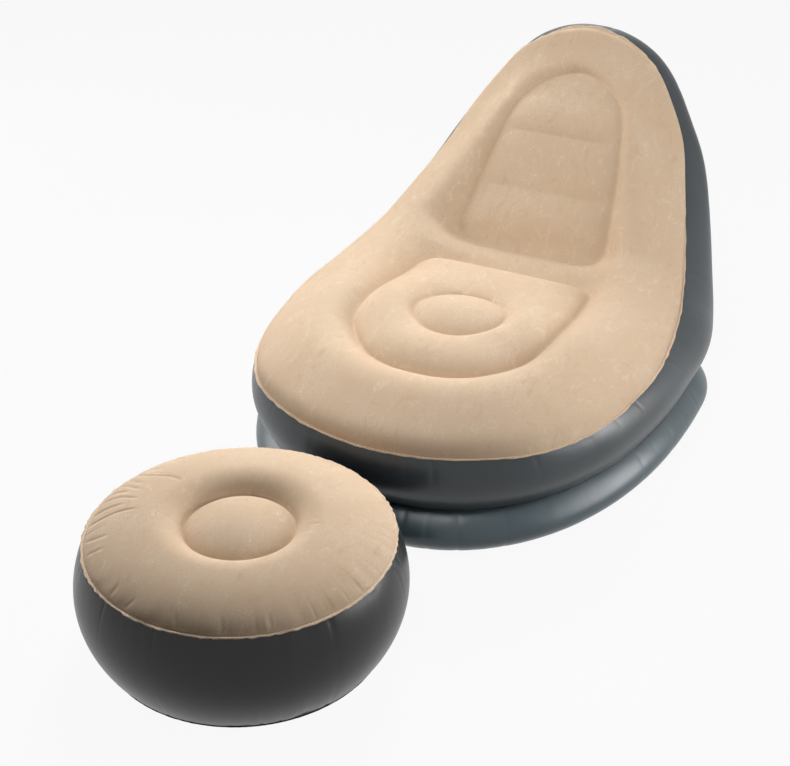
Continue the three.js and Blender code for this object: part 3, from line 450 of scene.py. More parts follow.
def grid_mesh(points):
    mesh = bmesh.new()
    add_grid(mesh, points)
    return mesh


def linked(name, data):
    """A new object of the scene that shows a mesh, a lamp or a camera."""
    made = bpy.data.objects.new(name, data)
    bpy.context.scene.collection.objects.link(made)
    return made


def mesh_object(mesh, name, material):
    data = bpy.data.meshes.new(name)
    mesh.to_mesh(data)
    mesh.free()
    data.materials.append(material)
    return linked(name, data)


def as_object(mesh, name, material, body, inside=None):
    """Turns a bmesh into an object of the scene that moves with a body."""
    bmesh.ops.remove_doubles(mesh, verts=mesh.verts, dist=1e-5)
    bmesh.ops.dissolve_degenerate(mesh, edges=mesh.edges, dist=1e-6)
    if inside is None:
        bmesh.ops.recalc_face_normals(mesh, faces=mesh.faces)
    elif sum(f.normal.dot(f.calc_center_median() - inside) * f.calc_area() for f in mesh.faces) < 0:
        bmesh.ops.reverse_faces(mesh, faces=mesh.faces)
    made = mesh_object(mesh, name, material)
    made.data.shade_smooth()
    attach(made, body)
    print(f"{name}: {len(made.data.polygons)} faces")
    return made


# %% [markdown]
# ## Finishes
# Two finishes do most of the work. Flocking is a coat of short, upright fibres: it has hardly any
# shine, it glows a little at its edges, and hands that brush over it leave light and dark strokes.
# The walls are calendered PVC, a soft vinyl that is rolled out between warm rollers, so it is smooth
# and satin with a broad, soft highlight. Colours are written as they look on a screen and are turned
# to Blender's linear values by one function.


# %% Colour and node helpers
def colour(hex_code):
    """An sRGB hex colour as linear red, green, blue and alpha."""
    parts = [int(hex_code[i : i + 2], 16) / 255 for i in (1, 3, 5)]
    return (*(c / 12.92 if c <= 0.04045 else ((c + 0.055) / 1.055) ** 2.4 for c in parts), 1.0)


def add_node(tree, kind, inputs=None, **settings):
    """Adds a node and sets its options. An input gets a value, or a link from another node's output."""
    made = tree.nodes.new(kind)
    for name, value in settings.items():
        setattr(made, name, value)
    for name, value in (inputs or {}).items():
        if isinstance(value, bpy.types.NodeSocket):
            tree.links.new(value, made.inputs[name])
        else:
            made.inputs[name].default_value = value
    return made


def emptied(owner):
    """The node tree of a material or a world, with no nodes in it."""
    owner.use_nodes = True
    owner.node_tree.nodes.clear()
    return owner.node_tree


def layered(tree, first, layers):
    """Lays colours over a first one: each sets in smoothly as a value runs from one limit to another."""
    tint = colour(first)
    for value, start, end, over in layers:
        inputs = {"Value": value, "From Min": start, "From Max": end}
        share = add_node(tree, "ShaderNodeMapRange", inputs, interpolation_type="SMOOTHSTEP")
        # A Mix node has its factor at input 0 and its two colours at inputs 6 and 7
        inputs = {0: share.outputs["Result"], 6: tint, 7: colour(over)}
        tint = add_node(tree, "ShaderNodeMix", inputs, data_type="RGBA").outputs[2]
    return tint


print("tan as linear values:", [round(c, 3) for c in colour("#d2b697")])


# %% [markdown]
# ### Flocked vinyl
# The fibres are about half a millimetre long, which is too fine to show from four metres, so the
# grain is drawn at about two millimetres. Over it lie strokes of some centimetres where the pile has
# been brushed one way or the other, and broad patches where the colour drifts a little.


# %% Flocked vinyl, light tan
# How many fit in a metre: patches of 140 mm, strokes of 25 mm and grains of 2 mm
PATCHES, STROKES, GRAINS = 7.0, 40.0, 480.0
NOISE = "ShaderNodeTexNoise"


def flocked_vinyl(name, low, high, ruffled_colour):
    material = bpy.data.materials.new(name)
    tree = emptied(material)
    place = add_node(tree, "ShaderNodeTexCoord").outputs["Object"]
    patches = add_node(tree, NOISE, {"Vector": place, "Scale": PATCHES, "Detail": 3.0}).outputs["Fac"]
    lengthwise = add_node(tree, "ShaderNodeMapping", {"Vector": place, "Scale": (1.0, 0.55, 0.55)})
    inputs = {"Vector": lengthwise.outputs["Vector"], "Scale": STROKES, "Detail": 5.0, "Roughness": 0.62}
    strokes = add_node(tree, NOISE, {**inputs, "Distortion": 1.1}).outputs["Fac"]
    grain = add_node(tree, NOISE, {"Vector": place, "Scale": GRAINS, "Detail": 2.0}).outputs["Fac"]
    brushed = (strokes, 0.52, 0.78, "#f0e0cb")
    ruffled = (strokes, 0.46, 0.24, ruffled_colour)
    shaded = (grain, 0.62, 0.4, "#d9bd9e")
    tint = layered(tree, low, [(patches, 0.35, 0.68, high), brushed, ruffled, shaded])
    inputs = {"Strength": 0.2, "Distance": 0.6 * MM, "Height": strokes}
    brushing = add_node(tree, "ShaderNodeBump", inputs).outputs["Normal"]
    inputs = {"Strength": 0.15, "Distance": 0.3 * MM, "Height": grain, "Normal": brushing}
    pile = add_node(tree, "ShaderNodeBump", inputs).outputs["Normal"]
    inputs = {
        "Base Color": tint,
        "Normal": pile,
        "Roughness": 0.85,
        "IOR": 1.45,
        "Specular IOR Level": 0.3,
        "Sheen Weight": 0.2,
        "Sheen Roughness": 0.4,
        "Sheen Tint": colour("#f3e2cd"),
    }
    shader = add_node(tree, "ShaderNodeBsdfPrincipled", inputs).outputs["BSDF"]
    add_node(tree, "ShaderNodeOutputMaterial", {"Surface": shader})
    return material


flock = flocked_vinyl("flocked_vinyl_light_tan", "#dbc1a5", "#e2ccb3", "#cdae8f")
# The seam lips get a paler flock than the top: the paler colour paints the highlight along their rounded
# edge.
seam_lip_painted_highlight = flocked_vinyl("flocked_vinyl_painted_highlight", "#ecd6c0", "#f2dfcb", "#e6cdb4")
print("made", flock.name, seam_lip_painted_highlight.name)


# %% [markdown]
# ### Dark vinyl
# The wall's grain is only a faint unevenness from the rollers. What the eye sees is how the highlight
# wavers, because the sheet is never quite even when it is blown up. So there is a slow unevenness of
# some centimetres, and a very fine one that takes the edge off the shine. The lower ring's vinyl is
# lighter and bluer than the wall's, and the footstool's is nearly black and shines less.


# %% Calendered vinyl, from bluish grey to nearly black
# How many fit in a metre: clouds of 200 mm, waves of 60 mm and roller marks of 1.5 mm
CLOUDS, WAVES, ROLLER_MARKS = 5.0, 16.0, 650.0


def calendered_vinyl(name, low, high, roughness, gloss=0.5):
    material = bpy.data.materials.new(name)
    tree = emptied(material)
    place = add_node(tree, "ShaderNodeTexCoord").outputs["Object"]
    clouds, waves, marks = (
        add_node(tree, NOISE, {"Vector": place, "Scale": scale, "Detail": detail}).outputs["Fac"]
        for scale, detail in ((CLOUDS, 3.0), (WAVES, 1.0), (ROLLER_MARKS, 1.0))
    )
    tint = layered(tree, low, [(clouds, 0.3, 0.7, high)])
    inputs = {"Value": clouds, "To Min": roughness - 0.05, "To Max": roughness + 0.07}
    rough = add_node(tree, "ShaderNodeMapRange", inputs).outputs["Result"]
    inputs = {"Strength": 0.3, "Distance": 2.0 * MM, "Height": waves}
    slow = add_node(tree, "ShaderNodeBump", inputs).outputs["Normal"]
    inputs = {"Strength": 0.12, "Distance": 0.15 * MM, "Height": marks, "Normal": slow}
    normal = add_node(tree, "ShaderNodeBump", inputs).outputs["Normal"]
    inputs = {"Base Color": tint, "Roughness": rough, "Normal": normal, "IOR": 1.53}
    shader = add_node(tree, "ShaderNodeBsdfPrincipled", {**inputs, "Specular IOR Level": gloss})
    add_node(tree, "ShaderNodeOutputMaterial", {"Surface": shader.outputs["BSDF"]})
    return material


wall_vinyl = calendered_vinyl("calendered_vinyl_dark_grey", "#2e3437", "#363d41", 0.34)
ring_vinyl = calendered_vinyl("calendered_vinyl_bluish_grey", "#3f4d53", "#4b5a61", 0.32)
stool_vinyl = calendered_vinyl("calendered_vinyl_near_black", "#151618", "#1b1c1e", 0.32, gloss=0.36)
web_vinyl = calendered_vinyl("calendered_vinyl_mid_grey", "#53585b", "#5c6164", 0.5)
valve_vinyl = calendered_vinyl("moulded_vinyl_near_black", "#282a2c", "#2f3234", 0.36)
print("finishes made:", len(bpy.data.materials))

# %% [markdown]
# ## The flocked top of the chair
# This sheet has two parts. From the seam to the outline of the panels it is a ring, so its grid runs
# round and inwards. Inside the outline the grid runs across in rows. Both use the same places along
# the outline, so that their corners meet and can be merged into one sheet.

# %% Chair: flocked top
STATIONS = 500
turns = np.arange(2 * STATIONS + 1) / (2 * STATIONS)


def rows_across(outline, half_turns, columns):
    """Places in rows from the left half of an outline to its right half."""
    right = point_at(outline, half_turns)
    x = right[:, :1] * np.linspace(-1, 1, columns)
    return x, np.broadcast_to(right[:, 1:], x.shape)


def chair_top():
    across = np.concatenate([[0, 0.006, 0.014, 0.026, 0.042], np.linspace(0.06, 1, 40)])
    outer, inner = point_at(top.outline, turns), point_at(panels_outline, turns)
    inward = inner - outer
    place = outer + inward * across[:, None, None]
    lift = top_lift(place[..., 0], place[..., 1])
    lift[0] = 0
    from_seam = np.hypot(*np.moveaxis(place - outer, -1, 0))
    swing = across / OVERHANG_PLACE * np.exp(1 - across / OVERHANG_PLACE) * (1 - across)
    inward /= np.linalg.norm(inward, axis=1)[:, None]
    reach = OVERHANG_REACH * table(OVERHANG)(outer[:, 1] / top.length)
    place = place - inward * (swing[:, None] * reach)[..., None]
    gather = folds(turns, 260, 5) * 1.6 + folds(turns, 90, 6, 2) * 1.2
    lift -= MM * gather * np.exp(-from_seam / 0.022) * smooth_step(from_seam, 0, 0.006)
    mesh = grid_mesh(top.at(place[..., 0], place[..., 1], lift))

    x, along = rows_across(panels_outline, turns[: STATIONS + 1], 97)
    add_grid(mesh, top.at(x, along, top_lift(x, along)))
    made = as_object(mesh, "chair_flocked_top", flock, "chair", Vector((0, 0.3, 0.1)))
    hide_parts("chair_top_sheet")


chair_top()

# %% [markdown]
# ## Walls
# A wall is a band between two welds that air pushes out into an arc. Each point of the band lies on
# the straight line between the two welds and is then moved outwards, most in the middle. Small folds
# start at both welds and fade out after some centimetres.

# %% Chair: the wall between the top and the back sheet
WALL_BULGE, RING_BULGE, ARC_POWER = 50 * MM, 45 * MM, 0.8
WALL_BULGE_SHARES = [
    (0, 0.58), (0.1, 0.52), (0.2, 0.58), (0.29, 1.06), (0.36, 1.08), (0.43, 0.72), (0.5, 0.54),
]
UNDER_SEAM, OVER_BACK, BESIDE_WELD = 0.9 * MM, 0.3 * MM, 0.7 * MM


def bulged_wall(upper, lower, bulge, rows, gather):
    """Points of a band between two closed edges that bulges outwards by the given distances."""
    chord = lower - upper
    ring = upper[:-1]
    ahead = np.roll(ring, -1, axis=0) - np.roll(ring, 1, axis=0)
    out = np.cross(chord, np.vstack([ahead, ahead[:1]]))
    out /= np.linalg.norm(out, axis=1)[:, None]
    share = (1 - np.cos(np.linspace(0, math.pi, rows))) / 2
    arc = np.sin(math.pi * share) ** ARC_POWER
    length = np.linalg.norm(chord, axis=1)
    from_weld = np.minimum(share, 1 - share)[:, None] * length
    fold = gather * np.exp(-from_weld / 0.03) * smooth_step(from_weld, 0, 0.01)
    away = bulge * arc[:, None] - MM * fold
    return upper + chord * share[:, None, None] + out * away[..., None]


def chair_wall():
    gather = folds(turns, 220, 11) * 2.2 + folds(turns, 70, 12, 2) * 1.5
    bulge = WALL_BULGE * table(WALL_BULGE_SHARES)(np.minimum(turns, 1 - turns))
    points = bulged_wall(top.edge(turns, -UNDER_SEAM), back.edge(turns, OVER_BACK), bulge, 48, gather)
    mesh = grid_mesh(points)
    made = as_object(mesh, "chair_wall", wall_vinyl, "chair", Vector((0, 0.3, 0.2)))
    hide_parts("chair_side_wall")


chair_wall()


# %% [markdown]
# ### The lower ring
# The ring under the seat is the same kind of wall, from the waist down to the floor. Its folds are a
# little deeper, because it turns in more sharply at both welds.


# %% Chair: the lower ring
def lifted(outline, height):
    return np.column_stack([outline, np.full(len(outline), height)])


def lower_ring():
    waist = point_at(waist_curve, turns)
    along = waist[:, 1] - front_of_waist
    upper = back.at(waist[:, 0], along, -BESIDE_WELD)
    lower = lifted(point_at(foot_curve, turns), BESIDE_WELD)
    gather = folds(turns, 200, 21) * 2.4 + folds(turns, 60, 22, 2) * 1.5
    points = bulged_wall(upper, lower, RING_BULGE, 36, gather)
    mesh = grid_mesh(points)
    made = as_object(mesh, "base_ring_wall", ring_vinyl, "chair", Vector((0, 0, 0.05)))
    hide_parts("base_side_wall")


lower_ring()

# %% [markdown]
# ## The back sheet
# Behind the back rest the webs pull the back sheet in along the same lines as in front, so the lines
# show there too, as shallow grooves. To find them, a line is followed from each weld of the top, at
# right angles to the top, until it meets the back sheet.


# %% Where the webs meet the back sheet
def foot_of_web(x, along, direction=None):
    """Length along the back sheet at which a line down from the top meets it."""
    start = top.at(x, along, top_lift(x, along))
    down = -top.normal(along) if direction is None else np.broadcast_to(direction, start.shape)
    steps = np.linspace(0.01, 0.6, 591)
    y = start[:, 1, None] + down[:, 1, None] * steps
    z = start[:, 2, None] + down[:, 2, None] * steps
    below = z < np.interp(y, back.samples[:, 0], back.samples[:, 1])
    first = np.argmax(below, axis=1)
    rows = np.arange(len(first))
    where = np.interp(y[rows, first], back.samples[:, 0], back.lengths)
    return np.stack([np.broadcast_to(x, where.shape), where], -1)


lumbar_feet = foot_of_web(*lumbar_polygon.T)
channel_feet = []
for channel in (LOWER_CHANNEL, UPPER_CHANNEL):
    reach = half_width(channel) - CHANNEL_END
    channel_feet.append(foot_of_web(np.array([-reach, reach]), np.full(2, channel)))
lowest, highest = lumbar_feet[:, 1].min(), lumbar_feet[:, 1].max()
print("lumbar web meets the back from", lowest.round(3), "to", highest.round(3))


# %% [markdown]
# ### The sheet itself
# Between the grooves the back sheet swells by about a centimetre, but only behind the back rest: under
# the seat it parts two chambers of the same pressure, and stays flat. Round the valve it is flat too,
# and has a hole, so that the valve's own solid shows.

# %% Chair: back sheet
BACK_SWELL, BACK_SWELL_EDGE, BACK_SWELL_START, BACK_SWELL_END = 11 * MM, 75 * MM, 0.6, 0.72
VALVE_HOLE_RADIUS, VALVE_FLAT_RADIUS, VALVE_SWELL_RADIUS = 21 * MM, 45 * MM, 100 * MM


def cut_valve_hole(mesh, centre):
    """Takes out the faces of a sheet that a valve stands in."""
    bmesh.ops.remove_doubles(mesh, verts=mesh.verts, dist=1e-5)
    hole = [f for f in mesh.faces if (f.calc_center_median() - centre).length < VALVE_HOLE_RADIUS]
    bmesh.ops.delete(mesh, geom=hole, context="FACES")


def back_sheet():
    x, along = rows_across(back.outline, turns[: STATIONS + 1 : 2], 121)
    near = np.maximum(distance_inside(polygon(back.outline), x, along), 0)
    near = np.minimum(near, np.abs(distance_inside(lumbar_feet, x, along)))
    for feet in channel_feet:
        beyond = np.maximum(np.abs(x) - feet[1, 0], 0)
        near = np.minimum(near, np.hypot(along - feet[0, 1], beyond))
    behind = smooth_step(along, BACK_SWELL_START * back.length, BACK_SWELL_END * back.length)
    bulge = BACK_SWELL * swell(near, BACK_SWELL_EDGE) * behind
    low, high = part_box("chair_valve_base")
    centre = (low + high) / 2
    from_valve = np.linalg.norm(back.at(x, along, 0) - np.array(centre), axis=-1)
    bulge *= smooth_step(from_valve, VALVE_FLAT_RADIUS, VALVE_SWELL_RADIUS)
    mesh = grid_mesh(back.at(x, along, -0.4 * MM - bulge))
    cut_valve_hole(mesh, centre)
    made = as_object(mesh, "chair_back_sheet", wall_vinyl, "chair", Vector((0, 0, 0.5)))
    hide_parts("chair_divider_sheet")


back_sheet()


# %% [markdown]
# ### The sheet on the floor
# A bottom sheet is a grid again. Its last row is the outline, and the other rows are smaller copies of
# it, down to a single point in the middle.


# %% Chair: bottom sheet
def bottom_sheet(name, outline, body, node):
    """A flat sheet inside an outline, just above the floor."""
    shares = np.linspace(0, 1, 9)
    points = np.zeros((len(shares), len(outline), 3))
    middle = outline.mean(axis=0)
    points[..., :2] = middle + (outline - middle) * shares[:, None, None]
    points[..., 2] = 0.2 * MM
    mesh = grid_mesh(points)
    made = as_object(mesh, name, wall_vinyl, body, Vector((*middle, 0.1)))
    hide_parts(node)


bottom_sheet("base_bottom", point_at(foot_curve, turns[::4]), "chair", "base_bottom_sheet")

# %% [markdown]
# ## Webs inside
# The webs are strips of vinyl between the two sheets. They can't be seen, but they are what shapes the
# top, so they stay in the model. Each runs from just under its weld line to just above the back sheet.


# %% Chair: webs
def web(name, places, direction=None):
    x, along = places.T
    upper = top.at(x, along, top_lift(x, along) - 2 * MM)
    feet = foot_of_web(x, along, direction)
    lower = back.at(feet[:, 0], feet[:, 1], 2 * MM)
    rows = np.linspace(0, 1, 6)[:, None, None]
    mesh = grid_mesh(upper * (1 - rows) + lower * rows)
    made = as_object(mesh, name, web_vinyl, "chair", Vector((0, 0, 0)))
    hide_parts(name.replace("_strip", "_web"))


opened = np.linspace(0.025, 0.975, 161)
angle = 2 * math.pi * opened
button_circle = BUTTON_RADIUS * np.stack([np.sin(angle), -np.cos(angle)], -1) + (0, BUTTON_PLACE)
straight_down = np.array([0.0, 0.0, -1.0])
web("seat_outline_strip", point_at(seat_curve, opened), straight_down)
web("seat_button_strip", button_circle, straight_down)
web("lumbar_outline_strip", point_at(lumbar_curve, opened))
for which, channel in (("lower", LOWER_CHANNEL), ("upper", UPPER_CHANNEL)):
    reach = half_width(channel) - CHANNEL_END
    places = np.stack([np.linspace(-reach, reach, 41), np.full(41, channel)], -1)
    web(f"lumbar_{which}_channel_strip", places)

# %% [markdown]
# ## Weld lips
# Outside each weld a narrow lip of both sheets is left over. On the seam of the top it shows its
# flocked side, in a paler flock that paints the highlight it catches as a thin pale line. It is made as
# a band with a rounded section that is carried round the seam, and it wavers a little where the sheet
# has gathered.


# %% A lip round a closed edge
LIP_SECTION = [
    (-0.6, 0.5), (0.1, 0.55), (0.7, 0.5), (0.95, 0.3), (1, 0),
    (0.95, -0.3), (0.7, -0.5), (0.1, -0.55), (-0.6, -0.5),
]
# The seam lips' paler flock is a painted highlight.
SEAM_LIP = {"material": seam_lip_painted_highlight, "slot": "flocked_vinyl", "width": 6 * MM, "thick": 2.4 * MM}
STOOL_SEAM_LIP = {**SEAM_LIP, "width": 5 * MM}
PLAIN_LIP = {"material": wall_vinyl, "slot": "dark_vinyl", "width": 3.2 * MM, "thick": 1.2 * MM}
FOOT_LIP_HEIGHT = 0.9 * MM


def lip(name, edge, normals, body, seed, material, slot, width, thick, waver=1.0):
    """A rounded band that stands out from a closed edge, with small puckers."""
    ring = edge[:-1]
    tangent = np.roll(ring, -1, axis=0) - np.roll(ring, 1, axis=0)
    tangent /= np.linalg.norm(tangent, axis=1)[:, None]
    normals = normals[:-1]
    out = np.cross(tangent, normals)
    out /= np.linalg.norm(out, axis=1)[:, None]
    places = np.arange(len(ring)) / len(ring)
    up = noise_round(places, 300, seed) * 0.5 + noise_round(places, 90, seed + 1) * 0.5
    up = up * waver * MM
    grow = 1 + 0.28 * waver * noise_round(places, 190, seed + 2)
    rows = [
        ring + out * (a * width * grow)[:, None] + normals * (b * thick + up * max(a, 0))[:, None]
        for a, b in LIP_SECTION
    ]
    points = np.stack([*rows, rows[0]])
    points = np.concatenate([points, points[:, :1]], axis=1)
    mesh = grid_mesh(points)
    return as_object(mesh, name, material, body)


fine_turns = np.arange(1601) / 1600
upright = np.tile([0.0, 0.0, 1.0], (len(fine_turns), 1))
edge, normals = top.edge(fine_turns), top.normal(point_at(top.outline, fine_turns)[:, 1])
lip("chair_seam_lip", edge, normals, "chair", 31, **SEAM_LIP)
edge, normals = back.edge(fine_turns), back.normal(point_at(back.outline, fine_turns)[:, 1])
lip("chair_back_lip", edge, normals, "chair", 34, **PLAIN_LIP, waver=0.8)
edge = lifted(point_at(foot_curve, fine_turns), FOOT_LIP_HEIGHT)
lip("base_foot_lip", edge, upright, "chair", 37, **PLAIN_LIP, waver=0.3)

# %% [markdown]
# ## The footstool
# The footstool is round, so its sheets are rings about one axis. One weld holds the top down round a
# circle in the middle, which leaves a plump ring and a low dome. Its top has gathered into long folds
# on the side that faces left, where the seam turns down, and into shorter ones everywhere else.

# %% Sizes of the footstool
STOOL_RADIUS, STOOL_HEIGHT = 321 * MM, 274 * MM
STOOL_X, STOOL_Y = -94 * MM, FRONT_OF_BASE - STOOL_RADIUS - 12 * MM
STOOL_SEAM_RADIUS, STOOL_SEAM_HEIGHT, STOOL_FOOT_RADIUS = 295 * MM, 226 * MM, 276 * MM
STOOL_CENTRE_RADIUS, STOOL_CENTRE_LEVEL, STOOL_CENTRE_RISE = 107 * MM, 241 * MM, 29 * MM
STOOL_CREST, STOOL_OUTER_POWER, STOOL_INNER_POWER = 0.68, 0.68, 0.7
stool_middle = Vector((STOOL_X, STOOL_Y, 0.12))
stool_turns = np.arange(961) / 960
print("footstool stands at", round(STOOL_X, 3), round(STOOL_Y, 3))


def circle(radius, height, places):
    """Points round the footstool's axis, starting at the side away from the chair."""
    angle = 2 * math.pi * places - math.pi / 2
    return np.stack(
        [STOOL_X + radius * np.cos(angle), STOOL_Y + radius * np.sin(angle), height + 0 * angle], -1
    )


# %% [markdown]
# ### The footstool's top
# Its height depends on the distance from the axis alone, apart from the folds. The long folds are
# listed one by one, where the sheet has gathered most, and the small ones at the seam come from a seed.


# %% Footstool: flocked top
def stool_height(radius):
    share = np.clip((STOOL_SEAM_RADIUS - radius) / (STOOL_SEAM_RADIUS - STOOL_CENTRE_RADIUS), 0, 1)
    outer = share < STOOL_CREST
    arm = np.where(outer, share / STOOL_CREST, (1 - share) / (1 - STOOL_CREST))
    rise = STOOL_CENTRE_LEVEL - STOOL_SEAM_HEIGHT
    crest = STOOL_HEIGHT - STOOL_SEAM_HEIGHT - rise * STOOL_CREST
    power = np.where(outer, STOOL_OUTER_POWER, STOOL_INNER_POWER)
    roll = STOOL_SEAM_HEIGHT + rise * share + crest * (arm * (2 - arm)) ** power
    dome = STOOL_CENTRE_LEVEL + STOOL_CENTRE_RISE * swell(
        np.maximum(STOOL_CENTRE_RADIUS - radius, 0), STOOL_CENTRE_RADIUS, 0.62
    )
    return np.where(radius < STOOL_CENTRE_RADIUS, dome, roll)


def long_folds(turn, radius):
    """Listed radial folds: (turn, inner radius, outer radius, depth in mm, width in mm)."""
    depth = np.zeros(np.broadcast(turn, radius).shape)
    made = [
        (0.805, 190, 295, 2.0, 4.0), (0.79, 225, 295, 2.4, 4.5), (0.772, 205, 295, 2.2, 4.0),
        (0.758, 235, 295, 2.8, 4.5), (0.742, 215, 295, 2.0, 4.0), (0.725, 230, 295, 2.4, 4.5),
        (0.706, 160, 295, 2.2, 4.5), (0.7, 205, 250, 1.2, 3.5), (0.688, 240, 295, 2.0, 4.0),
        (0.84, 240, 295, 1.4, 4.5), (0.87, 250, 295, 1.4, 4.0), (0.66, 235, 295, 1.6, 4.5),
        (0.63, 245, 295, 1.6, 4.5), (0.29, 120, 165, 1.0, 4.0), (0.31, 118, 150, 1.0, 4.0),
        (0.27, 120, 155, 0.8, 4.0), (0.02, 255, 295, 1.2, 4.5), (0.06, 262, 295, 1.2, 4.0),
        (0.93, 258, 295, 1.4, 4.5), (0.96, 262, 295, 1.2, 4.0), (0.12, 262, 295, 1.0, 4.5),
    ]
    for middle, inner, outer, deep, wide in made:
        bend = 0.006 * np.sin(radius * 40 + middle * 50)
        beside = ((turn - middle - bend + 0.5) % 1 - 0.5) * 2 * math.pi * radius
        window = smooth_step(radius, inner * MM, (inner + 25) * MM)
        window = window * smooth_step(radius, (outer + 1) * MM, (outer - 18) * MM)
        depth += 1.15 * deep * MM * np.exp(-((beside / (wide * MM)) ** 2)) * window
    return depth


def stool_top():
    beside_seam = STOOL_SEAM_RADIUS - np.array([0, 0.6, 1.6, 3.2, 5.4, 8.0]) * MM
    ring = np.linspace(STOOL_SEAM_RADIUS - 11 * MM, STOOL_CENTRE_RADIUS, 46)
    dome = np.linspace(STOOL_CENTRE_RADIUS - 1.5 * MM, 0, 30)
    radius = np.concatenate([beside_seam, ring, dome])[:, None]
    turn = stool_turns[None]
    height = stool_height(radius) - long_folds(turn, radius)
    from_seam = STOOL_SEAM_RADIUS - radius
    gather = folds(turn, 150, 41) * 1.8 * np.exp(-from_seam / 0.018)
    gather = gather + noise_round(turn, 75, 42) * 1.5 * np.exp(-from_seam / 0.03)
    height = height - MM * gather * smooth_step(from_seam, 0, 0.006)
    mesh = grid_mesh(circle(radius, height, turn))
    made = as_object(mesh, "stool_flocked_top", flock, "footstool", stool_middle)
    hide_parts("stool_top_sheet")


stool_top()


# %% [markdown]
# ### The footstool's wall and lips
# The wall is the same bulged band as the chair's. Low down on one side it has gathered more than
# elsewhere. The lip of its upper seam is flocked, like the chair's, with the same paler flock that
# paints a highlight along it.


# %% Footstool: wall, bottom sheet and lips
def stool_wall():
    middle_radius = (STOOL_SEAM_RADIUS + STOOL_FOOT_RADIUS) / 2
    slant = math.hypot(STOOL_SEAM_HEIGHT, STOOL_SEAM_RADIUS - STOOL_FOOT_RADIUS) / STOOL_SEAM_HEIGHT
    bulge = (STOOL_RADIUS - middle_radius) * slant
    near_foot = np.exp(-(((stool_turns - 0.16 + 0.5) % 1 - 0.5) / 0.05) ** 2)
    gather = folds(stool_turns, 150, 51) * 2.0 + folds(stool_turns, 60, 52, 2) * 1.5
    gather = gather + 4 * near_foot * folds(stool_turns, 110, 53, 1.5)
    upper = circle(STOOL_SEAM_RADIUS, STOOL_SEAM_HEIGHT - UNDER_SEAM, stool_turns)
    lower = circle(STOOL_FOOT_RADIUS, BESIDE_WELD, stool_turns)
    low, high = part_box("stool_valve_base")
    mesh = grid_mesh(bulged_wall(upper, lower, bulge, 56, gather))
    cut_valve_hole(mesh, (low + high) / 2)
    made = as_object(mesh, "stool_wall", stool_vinyl, "footstool", stool_middle)
    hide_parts("stool_side_wall")


stool_wall()
outline = circle(STOOL_FOOT_RADIUS, 0, stool_turns[::6])[:, :2]
bottom_sheet("stool_bottom", outline, "footstool", "stool_bottom_sheet")
edge = circle(STOOL_SEAM_RADIUS, STOOL_SEAM_HEIGHT, fine_turns)
lip("stool_seam_lip", edge, upright, "footstool", 61, **STOOL_SEAM_LIP)
edge = circle(STOOL_FOOT_RADIUS, FOOT_LIP_HEIGHT, fine_turns)
lip("stool_foot_lip", edge, upright, "footstool", 64, **PLAIN_LIP, waver=0.3)

# %% [markdown]
# ## Valves and inner strips
# The valves are moulded pieces whose solids already have the right shape, and the tie strips in the
# lower ring and in the footstool are plain. They keep their solids and only get their finish.

# %% Finishes for the solids that stay
for name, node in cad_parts.items():
    if node.hide_render:
        continue
    finish = valve_vinyl if "_valve_" in name else web_vinyl
    node.data.materials.clear()
    node.data.materials.append(finish)
    print(name, "gets", finish.name)

# %% [markdown]
# ## Floor, light and camera
# The set stands on a plain pale floor in pale surroundings. Both look nearly white to the camera and in
# reflections, but hardly light the set. The lamps do that, at a level where colours stay as written.


# %% Floor and surroundings
def seen_directly(tree):
    """1 for camera rays and glossy rays, and 0 for the rays that carry light."""
    path = add_node(tree, "ShaderNodeLightPath").outputs
    inputs = {0: path["Is Camera Ray"], 1: path["Is Glossy Ray"]}
    return add_node(tree, "ShaderNodeMath", inputs, operation="MAXIMUM").outputs[0]


def pale_floor():
    mesh = bmesh.new()
    bmesh.ops.create_grid(mesh, x_segments=1, y_segments=1, size=30)
    material = bpy.data.materials.new("pale_floor")
    tree = emptied(material)
    matt = add_node(tree, "ShaderNodeBsdfDiffuse", {"Color": colour("#c4c4c4")})
    glow = add_node(tree, "ShaderNodeEmission", {"Color": colour("#ffffff"), "Strength": 1.0})
    share = add_node(tree, "ShaderNodeMath", {0: seen_directly(tree), 1: 0.93}, operation="MULTIPLY")
    inputs = {0: share.outputs[0], 1: matt.outputs[0], 2: glow.outputs[0]}
    mixed = add_node(tree, "ShaderNodeMixShader", inputs)
    add_node(tree, "ShaderNodeOutputMaterial", {"Surface": mixed.outputs[0]})
    floor = mesh_object(mesh, "floor", material)


def pale_world():
    world = bpy.data.worlds.new("pale_studio")
    bpy.context.scene.world = world
    tree = emptied(world)
    lit = add_node(tree, "ShaderNodeBackground", {"Color": colour("#ffffff"), "Strength": 0.01})
    shown = add_node(tree, "ShaderNodeBackground", {"Color": colour("#fafafa"), "Strength": 1.0})
    inputs = {0: seen_directly(tree), 1: lit.outputs[0], 2: shown.outputs[0]}
    both = add_node(tree, "ShaderNodeMixShader", inputs)
    add_node(tree, "ShaderNodeOutputWorld", {"Surface": both.outputs[0]})


pale_floor()
pale_world()
bpy.context.scene.view_settings.view_transform = "Standard"
print("surroundings made")


# %% [markdown]
# ### Lamps
# Six softboxes stand round the set. Two hang over it, one in front and one behind, with a grid that
# keeps their light in a cone, so that one lights mainly the back rest and the other the footstool.
# Large ones on the left and on the right light the sides, and show as soft highlights along the walls.
# A small low one on the right brightens the rims.


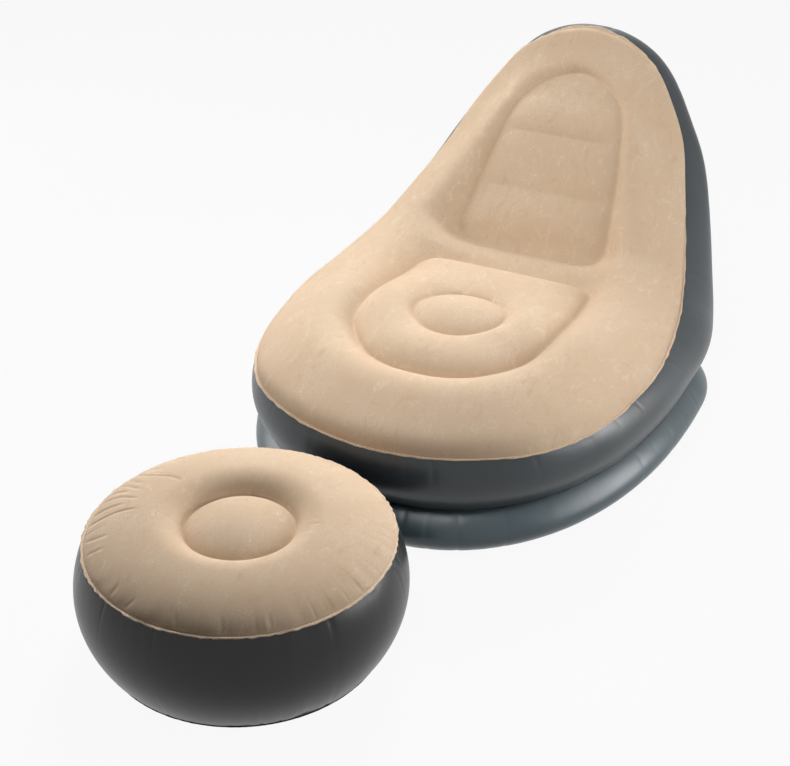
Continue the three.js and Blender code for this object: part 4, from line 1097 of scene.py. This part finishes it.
# %% Lamps
def aimed(name, data, place, direction):
    """A lamp or a camera at a place, turned to a direction."""
    made = linked(name, data)
    made.location = place
    made.rotation_mode = "QUATERNION"
    made.rotation_quaternion = direction.to_track_quat("-Z", "Y")
    return made


def soft_lamp(name, place, aim, size, power, spread=180):
    data = bpy.data.lights.new(name, "AREA")
    data.shape, data.size, data.energy, data.spread = "DISK", size, power, math.radians(spread)
    aimed(name, data, place, Vector(aim) - Vector(place))


soft_lamp("overhead_softbox", (0.3, -1.3, 3.1), (0.05, 0.55, 0.75), 1.8, 8.2, spread=60)
soft_lamp("rear_softbox", (-1.0, 2.1, 2.6), (-0.1, -0.95, 0.2), 1.8, 8.8, spread=40)
soft_lamp("left_softbox", (-3.0, 0.0, 1.1), (-0.1, -0.2, 0.3), 1.6, 28)
soft_lamp("high_left_softbox", (-2.6, 0.3, 2.4), (-0.1, 0.0, 0.3), 1.8, 22)
soft_lamp("right_softbox", (3.2, 0.6, 0.9), (0.1, -0.2, 0.3), 2.4, 50)
soft_lamp("low_right_softbox", (2.4, 0.8, 0.6), (-0.05, -0.85, 0.15), 1.2, 1.5, spread=45)

# %% [markdown]
# ### Camera
# The camera's place and lens come from fitting the outlines in the photograph: it looks from the
# front right of the picture, from about 31 degrees above the floor and four metres away. The focal
# length was found in pixels of a picture 790 pixels wide, and is turned to millimetres here.

# %% Camera
AZIMUTH, ELEVATION, DISTANCE = math.radians(25.637), math.radians(31.408), 4.013
TARGET = Vector((-0.230, 0.119, 0.0))
FOCAL_PIXELS, IMAGE_WIDTH = 1640, 790
camera_data = bpy.data.cameras.new("camera")
camera_data.sensor_width = 36.0
camera_data.lens = FOCAL_PIXELS / IMAGE_WIDTH * camera_data.sensor_width
level = math.cos(ELEVATION)
towards = Vector((math.sin(AZIMUTH) * level, -math.cos(AZIMUTH) * level, math.sin(ELEVATION)))
camera = aimed("camera", camera_data, TARGET + towards * DISTANCE, -towards)
bpy.context.scene.camera = camera
print("lens:", round(camera_data.lens, 1), "mm")
